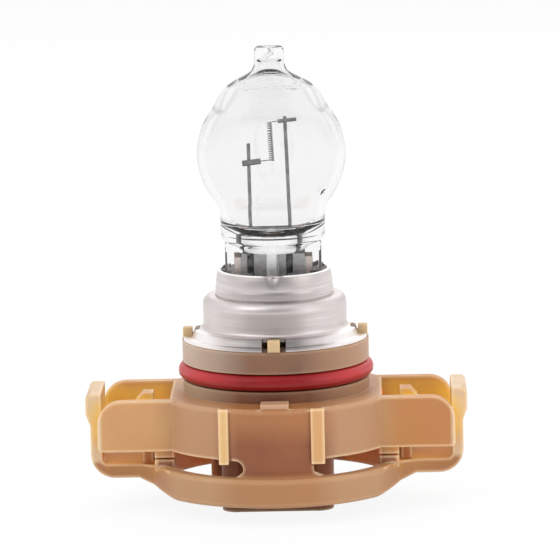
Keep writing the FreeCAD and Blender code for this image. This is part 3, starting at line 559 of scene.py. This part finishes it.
def plain_metal(name, dark, light, rough):
    """A metal with soft patches of two colours and fine grain."""
    material, tree = new_nodes(name)
    mottle = use_group(tree, surface_mottle, Patch_Scale=900.0, Grain_Scale=7000.0, Grain_Depth=0.2)
    patches = blend_colours(tree, ramp(tree, mottle.outputs["Mask"], 0.35, 0.65), dark, light)
    finish_opaque(tree, patches, mottle.outputs["Mask"], (rough - 0.06, rough + 0.08),
                  mottle.outputs["Normal"], {"Metallic": 1.0})
    return material


def clip_steel():
    """Clip: grey sheet, with a bright strip down its middle and paler ends."""
    material, tree = new_nodes("clip_steel")
    across, _, _, _ = where(tree)
    mottle = use_group(tree, surface_mottle, Patch_Scale=2400.0, Grain_Scale=7000.0, Grain_Depth=0.2)
    patches = ramp(tree, mottle.outputs["Mask"], 0.35, 0.65)
    grey = blend_colours(tree, patches, colour(172, 171, 171), colour(196, 195, 194))
    strip = blend_colours(tree, patches, colour(250, 250, 250), colour(255, 255, 255))
    whole = layered(tree, grey,
                    (between(tree, across, -0.68, 0.36, 0.04), strip),
                    (span(tree, size_of(tree, across), 3.35, 3.5), colour(226, 212, 206)))
    finish_opaque(tree, whole, mottle.outputs["Mask"], (0.36, 0.5),
                  mottle.outputs["Normal"], {"Metallic": 1.0})
    return material


GLASS_MARK = (5.6, -4.3, 33.3)
MARK_ROUGHNESS = 4.0
GRAIN_RISE = 5.0


def clear_glass(ring_level):
    """Bulb: clear glass, faintly wavy, with a rougher ring and a small mark; lamps light what is inside."""
    material, tree = new_nodes("clear_glass")
    place = add_node(tree, "ShaderNodeTexCoord")
    across, _, height, distance = where(tree)
    waves = add_node(tree, "ShaderNodeTexNoise", {"Scale": 160.0, "Detail": 1.0})
    grain = add_node(tree, "ShaderNodeTexNoise", {"Scale": 1500.0, "Detail": 2.0})
    mark_place = [number * MM for number in GLASS_MARK]
    apart = add_node(tree, "ShaderNodeVectorMath", {1: mark_place}, operation="DISTANCE")
    for socket in (waves.inputs["Vector"], grain.inputs["Vector"], apart.inputs[0]):
        tree.links.new(place.outputs["Object"], socket)
    from_ring = size_of(tree, calculate(tree, "SUBTRACT", height, ring_level * MM))
    ring = overlap(tree, span(tree, from_ring, 0.35, 0.1), span(tree, distance, 3.0, 3.3),
                   span(tree, size_of(tree, across), 3.6, 3.2))
    mark = calculate(tree, "MULTIPLY", span(tree, apart.outputs["Value"], 0.5, 0.25), MARK_ROUGHNESS)
    rough = calculate(tree, "MAXIMUM", ring, mark)
    frosted = calculate(tree, "MULTIPLY", grain.outputs["Fac"], rough)
    scratches = calculate(tree, "MULTIPLY", frosted, GRAIN_RISE)
    rise = calculate(tree, "ADD", waves.outputs["Fac"], scratches)
    bump = add_node(tree, "ShaderNodeBump", {"Strength": 0.35, "Distance": 0.06 * MM})
    tree.links.new(rise, bump.inputs["Height"])
    shader = add_node(tree, "ShaderNodeBsdfPrincipled", {
        "Base Color": (0.94, 0.94, 0.94, 1.0), "Roughness": 0.0, "IOR": 1.46, "Transmission Weight": 1.0})
    tree.links.new(bump.outputs[0], shader.inputs["Normal"])
    clear = add_node(tree, "ShaderNodeBsdfTransparent", {"Color": (0.95, 0.95, 0.95, 1.0)})
    mix = add_node(tree, "ShaderNodeMixShader")
    tree.links.new(any_ray(tree, "Is Shadow Ray"), mix.inputs[0])
    tree.links.new(shader.outputs[0], mix.inputs[1])
    tree.links.new(clear.outputs[0], mix.inputs[2])
    finish_surface(tree, mix.outputs[0])
    return material


# Making pieces


def to_mesh(name, form):
    """A mesh in metres from a millimetre bmesh, which it uses up."""
    bmesh.ops.scale(form, vec=(MM, MM, MM), verts=form.verts)
    mesh = bpy.data.meshes.new(name)
    form.to_mesh(mesh)
    form.free()
    return mesh


def to_scratch(form):
    """A mesh in millimetres from a bmesh, which it uses up, to be joined to another form."""
    mesh = bpy.data.meshes.new("part")
    form.to_mesh(mesh)
    form.free()
    return mesh


def place_mesh(name, mesh, material, slot, *replaced):
    """A finished piece from a mesh in metres, riding on the bulb."""
    piece = bpy.data.objects.new(name, mesh)
    mesh.materials.clear()
    mesh.materials.append(material)
    bpy.context.scene.collection.objects.link(piece)
    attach(piece, BODY)
    if replaced:
        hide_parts(*replaced)
    return piece


def place_piece(name, form, material, slot, *replaced):
    """A finished piece from a millimetre bmesh."""
    return place_mesh(name, to_mesh(name, form), material, slot, *replaced)


def smooth(piece, angle=35.0, even=False):
    """Smooth shading that stops at sharper edges; even keeps flat faces flat beside rounded edges."""
    for face in piece.data.polygons:
        face.use_smooth = True
    piece.data.set_sharp_from_angle(angle=math.radians(angle))
    if even:
        weighted = piece.modifiers.new("flat_faces", "WEIGHTED_NORMAL")
        weighted.keep_sharp = True


def mixed(name, form, other, operation):
    """A mesh in metres made from two millimetre bmeshes by a boolean; both are used up."""
    parts = []
    for part in (form, other):
        part_object = bpy.data.objects.new(name, to_mesh(name, part))
        bpy.context.scene.collection.objects.link(part_object)
        parts.append(part_object)
    cut = parts[0].modifiers.new("mix", "BOOLEAN")
    cut.operation = operation
    cut.solver = "EXACT"
    cut.object = parts[1]
    bpy.context.view_layer.update()
    shape = parts[0].evaluated_get(bpy.context.evaluated_depsgraph_get())
    mesh = bpy.data.meshes.new_from_object(shape)
    for part_object in parts:
        bpy.data.objects.remove(part_object)
    return mesh


def sweep(form, profile, angle, steps, start=0.0, climb=0.0, around=False):
    """Skin a profile, a list of (radius, level), carried about the axis; gives its first and last ring.

    The points are made one by one, since bmesh's own spin puts them in another order on each run.
    """
    rings = []
    for step in range(steps + 1):
        turn = start + angle * step / steps
        rings.append([form.verts.new((radius * math.cos(turn), radius * math.sin(turn), level + climb * step))
                      for radius, level in profile])
    for here, there in zip(rings, rings[1:]):
        sides = list(zip(here, there))
        if around:
            sides.append(sides[0])
        for (first, last), (beside, beyond) in zip(sides, sides[1:]):
            form.faces.new((first, beside, beyond, last))
    return rings[0], rings[-1]


def turned(profile, steps=128):
    """A full turn of a profile about the axis, with its two ends joined."""
    form = bmesh.new()
    sweep(form, profile, math.tau, steps)
    bmesh.ops.remove_doubles(form, verts=form.verts, dist=0.0005)
    bmesh.ops.recalc_face_normals(form, faces=form.faces)
    return form


def arc(centre, radius, first, last, count):
    """Points on an arc of a profile between two angles in degrees, measured from outwards towards up."""
    points = []
    for step in range(count + 1):
        angle = math.radians(first + (last - first) * step / count)
        points.append((centre[0] + radius * math.cos(angle), centre[1] + radius * math.sin(angle)))
    return points


def raised(line, level):
    """A profile line whose points are given above or below a level."""
    return [(radius, level + rise) for radius, rise in line]


def bevel(form, edges, width, segments):
    """Round these edges of a form."""
    bmesh.ops.bevel(form, geom=edges, offset=width, offset_type="OFFSET", segments=segments, profile=0.5,
                    affect="EDGES", clamp_overlap=False, material=-1)


def add_box(form, size, middle):
    """A box of a size about a middle, added to a form."""
    place = Matrix.Translation(Vector(middle)) @ Matrix.Diagonal((*size, 1.0))
    bmesh.ops.create_cube(form, size=1.0, matrix=place)


def node_copy(node, merge=0.02):
    """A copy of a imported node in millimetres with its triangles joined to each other."""
    form = bmesh.new()
    form.from_mesh(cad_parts[node].data)
    bmesh.ops.scale(form, vec=(1 / MM, 1 / MM, 1 / MM), verts=form.verts)
    bmesh.ops.remove_doubles(form, verts=form.verts, dist=merge)
    return form


def round_edges(form, width, least_length, least_angle=40.0):
    """Rounded edges wherever two faces meet at a clear angle along more than a sliver."""
    edges = [edge for edge in form.edges
             if len(edge.link_faces) == 2 and edge.calc_length() > least_length
             and edge.calc_face_angle() > math.radians(least_angle)]
    bevel(form, edges, width, 3)


def levels(node):
    """Lowest and highest level of a node, in millimetres."""
    low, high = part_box(node)
    return low.z / MM, high.z / MM


# Pieces

MOULD_LINE = -22.0
MOULD_LINE_HEIGHT = 0.03
FINE_STEPS = 160


def make_base(material):
    """The moulded base with its edges rounded."""
    form = node_copy("base_moulding")
    round_edges(form, 0.1, 0.3)
    smooth(place_piece("base", form, material, "base_plastic", "base_moulding"), 38.0, even=True)


def make_seal():
    """The red ring in its groove, with the fine line that its mould leaves."""
    low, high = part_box("seal_ring")
    middle = (low.z + high.z) / 2 / MM
    thick = (high.z - low.z) / 2 / MM
    reach = high.x / MM - thick
    profile = arc((reach, middle), thick, MOULD_LINE + 4.0, MOULD_LINE + 356.0, 44)
    profile += arc((reach, middle), thick + MOULD_LINE_HEIGHT, MOULD_LINE - 1.0, MOULD_LINE + 1.0, 1)
    profile += profile[:1]
    form = turned(profile, FINE_STEPS)
    smooth(place_piece("seal", form, red_rubber(middle), "seal_rubber", "seal_ring"), 60.0)


CUP_GAUGE = 0.4
CUP_RADIUS = 7.55
CUP_SHOULDER = 0.9
CUP_BORE = 8.2
CUP_MOUTH = 6.23
FLANGE_RADIUS = 9.7
STEP_RADIUS = 8.6
STEP_ROUND = 0.25
STEP_RISE = 0.72
NOTCH_WIDTH = 2.5
NOTCH_START = 7.85
NOTCH_HEIGHT = 1.6


def make_cup(material):
    """The pressed cup with its stepped flare, rounded bends and a square notch for each pin."""
    foot, top = levels("metal_cup")
    flange = foot + CUP_GAUGE
    step = flange + STEP_RISE
    turn = top - CUP_SHOULDER
    bend = CUP_RADIUS - CUP_SHOULDER
    profile = [(CUP_BORE, foot), (FLANGE_RADIUS - 0.1, foot)]
    profile += arc((FLANGE_RADIUS - 0.1, foot + 0.1), 0.1, -90.0, 0.0, 4)[1:]
    profile += arc((FLANGE_RADIUS - 0.15, flange - 0.12), 0.15, 0.0, 90.0, 5)
    profile += [(FLANGE_RADIUS - 0.35, flange - 0.02), (9.0, flange - 0.02)]
    profile += arc((9.0, flange + 0.22), 0.24, 270.0, 205.0, 5)[1:]
    profile += arc((STEP_RADIUS - STEP_ROUND, step - STEP_ROUND), STEP_ROUND, 12.0, 82.0, 6)
    profile += raised(((8.15, 0.05), (7.95, 0.11)), step)
    profile += arc((CUP_RADIUS + 0.42, step + 0.55), 0.42, 265.0, 182.0, 7)
    profile += [(CUP_RADIUS, turn)] + arc((bend, turn), CUP_SHOULDER, 0.0, 90.0, 10)[1:]
    profile += [(CUP_MOUTH, top), (CUP_MOUTH, top - CUP_GAUGE), (bend, top - CUP_GAUGE)]
    profile += arc((bend, turn), CUP_SHOULDER - CUP_GAUGE, 90.0, 0.0, 6)[1:]
    profile += [(CUP_RADIUS - CUP_GAUGE, step + 0.2), (8.0, step - 0.4)]
    profile += [(CUP_BORE, foot + 0.3), (CUP_BORE, foot)]
    notches = bmesh.new()
    reach = FLANGE_RADIUS + 1.0 - NOTCH_START
    middle = NOTCH_START + reach / 2
    for across, depth in ((0.0, -1.0), (1.0, 0.0), (0.0, 1.0), (-1.0, 0.0)):
        flat = (reach, NOTCH_WIDTH) if across else (NOTCH_WIDTH, reach)
        add_box(notches, (*flat, NOTCH_HEIGHT), (across * middle, depth * middle, foot + 0.75))
    bevel(notches, notches.edges[:], 0.2, 3)
    mesh = mixed("cup", turned(profile, FINE_STEPS), notches, "DIFFERENCE")
    smooth(place_mesh("cup", mesh, material, "collar_metal", "metal_cup"), 40.0)


SLEEVE_BORE = 5.85
SLEEVE_FOOT = 6.62
SLEEVE_WALL = 6.2
SLEEVE_SEAT = 0.35
RIM_BORE = 5.6
RIM_ROLL = 0.3
CRIMP_REACH = 0.7
CRIMP_DEPTH = 0.3


def make_sleeve(material):
    """The sleeve with its rolled rim, a shallow line round it and a crimp at its front and back."""
    foot, top = levels("collar_sleeve")
    seat = foot + SLEEVE_SEAT
    cup_top = seat + CUP_GAUGE
    profile = [(SLEEVE_BORE, foot), (SLEEVE_FOOT, foot), (SLEEVE_FOOT, seat), (SLEEVE_WALL, seat)]
    profile += raised(((SLEEVE_WALL, 0.66), (6.19, 0.82), (6.12, 0.92), (6.11, 1.04), (6.14, 1.2)), cup_top)
    profile += raised(((6.05, -0.7), (5.96, -0.32)), top)
    profile += arc((5.65, top - RIM_ROLL), RIM_ROLL, 0.0, 80.0, 6)
    profile += [(RIM_BORE, top - 0.03), (RIM_BORE, top - RIM_ROLL)]
    profile += [(SLEEVE_BORE, cup_top + 0.9), (SLEEVE_BORE, foot)]
    form = turned(profile, FINE_STEPS)
    for side in (-1.0, 1.0):
        crimp = Vector((0.0, side * 6.0, top - 0.25))
        for vert in form.verts:
            near = (vert.co - crimp).length
            if near < CRIMP_REACH:
                vert.co.y -= side * CRIMP_DEPTH * (1.0 - (near / CRIMP_REACH) ** 2) ** 2
    smooth(place_piece("sleeve", form, material, "collar_metal", "collar_sleeve"), 40.0)


def make_clip(material):
    """The sheet clip round the pinch."""
    form = node_copy("pinch_clip", 0.005)
    round_edges(form, 0.03, 0.1)
    smooth(place_piece("clip", form, material, "clip_metal", "pinch_clip"), 38.0, even=True)


# Dark fills in the clip's slots: painted shade, placed where the posts show through.
SLOT_FILL_PLACES = (-2.37, 1.7)
SLOT_FILL_DEPTH = 2.13
SLOT_FILL_SIZE = (0.66, 0.12)
TAB_RADIUS = 5.38
TAB_SIZE = (0.16, 0.4)
TAB_SPREADS = (
    (-170.0, 24.0), (-124.0, 13.0), (-74.0, 13.0), (-43.0, 25.0),
    (146.0, 24.0), (111.0, 13.0), (61.0, 13.0), (18.0, 25.0),
)


def make_slot_fills_and_tabs(material):
    """Dark fills in the slots of the clip's two cheeks, painted shade that also stands for the posts seen
    through the slots, and the dark tabs inside the rim.
    """
    level = levels("collar_sleeve")[1] - 0.02
    wide, tall = TAB_SIZE
    tab = [(TAB_RADIUS + side * wide / 2, level + rise * tall / 2)
           for side, rise in ((-1.0, -1.0), (1.0, -1.0), (1.0, 1.0), (-1.0, 1.0))]
    form = bmesh.new()
    for start, spread in TAB_SPREADS:
        for end in sweep(form, tab, math.radians(spread), 6, math.radians(start), around=True):
            form.faces.new(end)
    bmesh.ops.recalc_face_normals(form, faces=form.faces)
    clip_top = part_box("pinch_clip")[1].z / MM
    bottom, top = clip_top - 3.3, clip_top - 0.12
    slot_fills = bmesh.new()
    for middle in SLOT_FILL_PLACES:
        for side in (-1.0, 1.0):
            add_box(slot_fills, (*SLOT_FILL_SIZE, top - bottom), (middle, side * SLOT_FILL_DEPTH, (bottom + top) / 2))
    bevel(slot_fills, slot_fills.edges[:], 0.03, 2)
    form.from_mesh(to_scratch(slot_fills))
    smooth(place_piece("clip_slot_fills_and_tabs", form, material, "clip_metal"), 35.0)


BALL_RADIUS = 7.8
WALL = 0.9
NECK = 5.5
BLEND = 2.5
CROWN_LIFT = 0.85
TIP_ROOT = 1.95
TIP_HEIGHT = 2.9
CROWN_START = 3.1
CROWN_EDGE = 5.4
SHOULDER_EDGE = 5.75
EASING_PASSES = 9
LIFT_START = 68.0
LIFT_END = 40.0
LIFT_STEPS = 30
RING_DEPTH = 3.9
GLASS_TOP = levels("glass_envelope")[1]
CROWN_TOP = GLASS_TOP - TIP_HEIGHT
CROWN_CENTRE = CROWN_TOP - math.sqrt(BALL_RADIUS ** 2 - TIP_ROOT ** 2)
BALL_CENTRE = CROWN_CENTRE - CROWN_LIFT
BLEND_LEVEL = BALL_CENTRE - math.sqrt((BALL_RADIUS + BLEND) ** 2 - (NECK + BLEND) ** 2)
GLASS_FLOOR = BLEND_LEVEL - 1.51


def angle_at(across, radius):
    """The angle of a point on a circle from how far across it is, in degrees above level."""
    return math.degrees(math.acos(across / radius))


def bulb_line(radius, neck, crown_x, shoulder_x, count):
    """The line of crown, ball and neck at one distance through the wall, from the top down."""
    share = radius / (BALL_RADIUS + BLEND)
    blend_x = NECK + BLEND
    crown_foot = CROWN_CENTRE + math.sqrt(radius ** 2 - crown_x ** 2)
    shoulder_top = BALL_CENTRE + math.sqrt(radius ** 2 - shoulder_x ** 2)
    foot_angle = math.degrees(math.asin(-(BALL_CENTRE - BLEND_LEVEL) * share / radius))
    line = [(crown_x, crown_foot)]
    line += [((crown_x + shoulder_x) / 2 + 0.06, (crown_foot + shoulder_top) / 2)]
    line += arc((0.0, BALL_CENTRE), radius, angle_at(shoulder_x, radius), foot_angle, count)
    last = line[-1]
    start = math.degrees(math.atan2(last[1] - BLEND_LEVEL, last[0] - blend_x))
    line += arc((blend_x, BLEND_LEVEL), blend_x - neck, start, 180.0, count // 4)[1:]
    return line


def softened(line, passes):
    """A profile line with its corners eased; its two ends stay."""
    for _ in range(passes):
        eased = [line[0]]
        for before, here, after in zip(line, line[1:], line[2:]):
            eased.append(tuple(b * 0.25 + h * 0.5 + a * 0.25 for b, h, a in zip(before, here, after)))
        line = eased + [line[-1]]
    return line


def denser(line):
    """A profile line with a point added in the middle of each of its parts."""
    fuller = [line[0]]
    for before, here in zip(line, line[1:]):
        fuller += [((before[0] + here[0]) / 2, (before[1] + here[1]) / 2), here]
    return fuller


def glass_outside():
    """Outer face of tip, ball and neck, joined to the flat pinch below, as a mesh in metres."""
    outer = bulb_line(BALL_RADIUS, NECK, CROWN_EDGE, SHOULDER_EDGE, 40)
    tip = raised(((0.0, -0.06), (0.5, 0.0)), GLASS_TOP)
    tip += arc((1.05, GLASS_TOP - 0.5), 0.5, 90.0, 0.0, 6)
    tip += raised(((1.54, -1.2), (1.57, -1.75)), GLASS_TOP)
    tip += raised(((1.68, 0.75), (1.9, 0.3), (2.3, 0.02), (2.75, -0.22)), CROWN_TOP)
    crown = arc((0.0, CROWN_CENTRE), BALL_RADIUS, angle_at(CROWN_START, BALL_RADIUS),
                angle_at(CROWN_EDGE, BALL_RADIUS), 10)
    upper = softened(crown[:-1] + outer[:12], EASING_PASSES)
    foot = raised(((5.5, -1.9), (5.42, -2.3), (5.2, -2.6)), BLEND_LEVEL)
    foot += raised(((3.6, -3.55), (3.2, -3.78), (0.0, -3.8)), BLEND_LEVEL)
    shell = turned(tip + upper + outer[12:] + foot)
    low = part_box("glass_envelope")[0].z / MM
    high = GLASS_FLOOR - WALL
    block = bmesh.new()
    add_box(block, (10.1, 4.0, high - low), (0.0, 0.0, (low + high) / 2))
    bevel(block, block.edges[:], 0.5, 4)
    return mixed("glass_outside", shell, block, "UNION")


def glass_inside():
    """Inner face: a channel up into the tip, a smooth crown, the ball, the neck and a dished floor."""
    inside = BALL_RADIUS - WALL
    upper = raised(((0.0, -1.2), (0.7, -1.25), (1.1, -1.5), (1.2, -2.1)), GLASS_TOP)
    upper += raised(((1.28, 0.5), (1.5, 0.05), (1.95, -0.35), (2.4, -0.75)), CROWN_TOP)
    upper = softened(denser(denser(upper)), EASING_PASSES)
    for step in range(LIFT_STEPS + 1):
        angle = LIFT_START - (LIFT_START - LIFT_END) * step / LIFT_STEPS
        share = (angle - LIFT_END) / (LIFT_START - LIFT_END)
        lift = CROWN_LIFT * math.sin(math.radians(angle)) * share * share * (3.0 - 2.0 * share)
        upper += arc((0.0, BALL_CENTRE), inside + lift, angle, angle, 1)[:1]
    inner = bulb_line(inside, NECK - WALL, 4.78, 5.09, 36)
    lower = [spot for spot in inner if spot[1] < upper[-1][1] - 0.1]
    floor = raised(((4.6, 1.05), (4.5, 0.75), (4.2, 0.5), (3.5, 0.15), (2.8, -0.2), (2.3, -0.36), (1.8, -0.3),
                    (1.0, -0.12), (0.0, -0.05)), GLASS_FLOOR)
    return turned(upper + lower + floor)


def tip_bubble():
    """The small closed hollow that lies aslant in the tip."""
    bubble = turned(arc((0.0, 0.0), 1.0, 90.0, -90.0, 12), 20)
    middle = Matrix.Translation((-0.1, 0.0, GLASS_TOP - 0.95))
    lean = Matrix.Rotation(math.radians(48.0), 4, "Y")
    place = middle @ lean @ Matrix.Diagonal((0.24, 0.24, 0.66, 1.0))
    bmesh.ops.transform(bubble, matrix=place, verts=bubble.verts)
    return bubble


def make_glass(material):
    """The glass: its outer face, with the hollow and the small bubble facing inwards."""
    outside = glass_outside()
    glass = bmesh.new()
    for hollow in (glass_inside(), tip_bubble()):
        bmesh.ops.reverse_faces(hollow, faces=hollow.faces)
        glass.from_mesh(to_mesh("hollow", hollow))
    glass.from_mesh(outside)
    mesh = bpy.data.meshes.new("glass")
    glass.to_mesh(mesh)
    glass.free()
    smooth(place_mesh("glass", mesh, material, "clear_glass", "glass_envelope"), 50.0)


COIL_TURNS = 18
STEPS_A_TURN = 20
COIL_PITCH = 0.23
COIL_RADIUS = 0.24
COIL_TILT = 2.5
COIL_X = 0.04
COIL_FOOT = BALL_CENTRE - 0.85
WIRE_RADIUS = 0.052
CLAMP_TILT = 6.5
LEG_ENTRY = 0.45


def make_coil(material):
    """The filament: a round wire wound in a leaning helix, with its two straight legs."""
    form = bmesh.new()
    section = arc((COIL_RADIUS, 0.0), WIRE_RADIUS, 315.0, 0.0, 7)
    sweep(form, section, math.tau * COIL_TURNS, COIL_TURNS * STEPS_A_TURN,
          climb=COIL_PITCH / STEPS_A_TURN, around=True)
    bmesh.ops.recalc_face_normals(form, faces=form.faces)
    lean = Matrix.Rotation(math.radians(COIL_TILT), 3, (0.0, -1.0, 0.0))
    bmesh.ops.rotate(form, cent=(0.0, 0.0, 0.0), matrix=lean, verts=form.verts)
    bmesh.ops.translate(form, vec=(COIL_X, 0.0, COIL_FOOT), verts=form.verts)
    climb = math.tan(math.radians(CLAMP_TILT))
    length = COIL_TURNS * COIL_PITCH
    lower_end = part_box("lower_filament_clamp")[1].x / MM - LEG_ENTRY
    upper_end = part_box("upper_filament_clamp")[0].x / MM + LEG_ENTRY
    lower = Vector((COIL_X - COIL_RADIUS, 0.0, COIL_FOOT + COIL_PITCH / 2))
    upper = Vector((COIL_X + COIL_RADIUS, 0.0, COIL_FOOT)) + lean @ Vector((0.0, 0.0, length))
    for start, end_x in ((lower, lower_end), (upper, upper_end)):
        end = Vector((end_x, 0.0, start.z + (end_x - start.x) * climb))
        along = end - start
        place = Matrix.Translation((start + end) / 2) @ along.to_track_quat("Z", "Y").to_matrix().to_4x4()
        bmesh.ops.create_cone(form, cap_ends=True, segments=10, radius1=WIRE_RADIUS, radius2=WIRE_RADIUS,
                              depth=along.length, matrix=place)
    smooth(place_piece("coil", form, material, "filament_metal", "filament_coil"), 60.0)


def make_small_parts(parts, material, slot):
    """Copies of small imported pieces, given as node, name and width of the rounding of their edges."""
    for node, name, width in parts:
        form = node_copy(node, 0.001)
        if width:
            round_edges(form, width, 0.02)
        smooth(place_piece(name, form, material, slot, node), 38.0, even=True)


surface_mottle = make_mottle()
outer_edges = make_edge_mask()
deep_hollows = make_hollow_mask()
turned_lines = make_turned_lines()

make_camera()
make_world()
for lamp_name, lamp_place, lamp_power in LAMPS:
    make_lamp(lamp_name, lamp_place, lamp_power)
make_floor()

steel = collar_steel()
make_base(amber_plastic())
make_seal()
make_cup(steel)
make_sleeve(steel)
make_clip(clip_steel())
# Dark fills in the slots as painted shade, and dark tabs inside the rim.
make_slot_fills_and_tabs(plain_metal("dark_steel", colour(64, 64, 66), colour(132, 132, 134), 0.4))
make_glass(clear_glass(GLASS_TOP - RING_DEPTH))
wire = plain_metal("support_wire", colour(112, 112, 114), colour(150, 150, 152), 0.35)
make_small_parts([
    ("short_support_post", "short_post", 0.03),
    ("long_support_post", "long_post", 0.03),
    ("lower_filament_clamp", "lower_clamp", 0.03),
    ("upper_filament_clamp", "upper_clamp", 0.03),
    ("lead_wire_left", "left_lead", 0.0),
    ("lead_wire_right", "right_lead", 0.0),
    ("seal_foil_left", "left_foil", 0.0),
    ("seal_foil_right", "right_foil", 0.0),
], wire, "support_wire")
make_coil(plain_metal("filament", colour(98, 98, 100), colour(140, 140, 142), 0.4))
blades = plain_metal("tinned_blade", colour(206, 196, 164), colour(228, 222, 200), 0.3)
make_small_parts([
    ("terminal_blade_left", "left_blade", 0.08),
    ("terminal_blade_right", "right_blade", 0.08),
], blades, "blade_metal")

bpy.context.scene.view_settings.view_transform = "Standard"
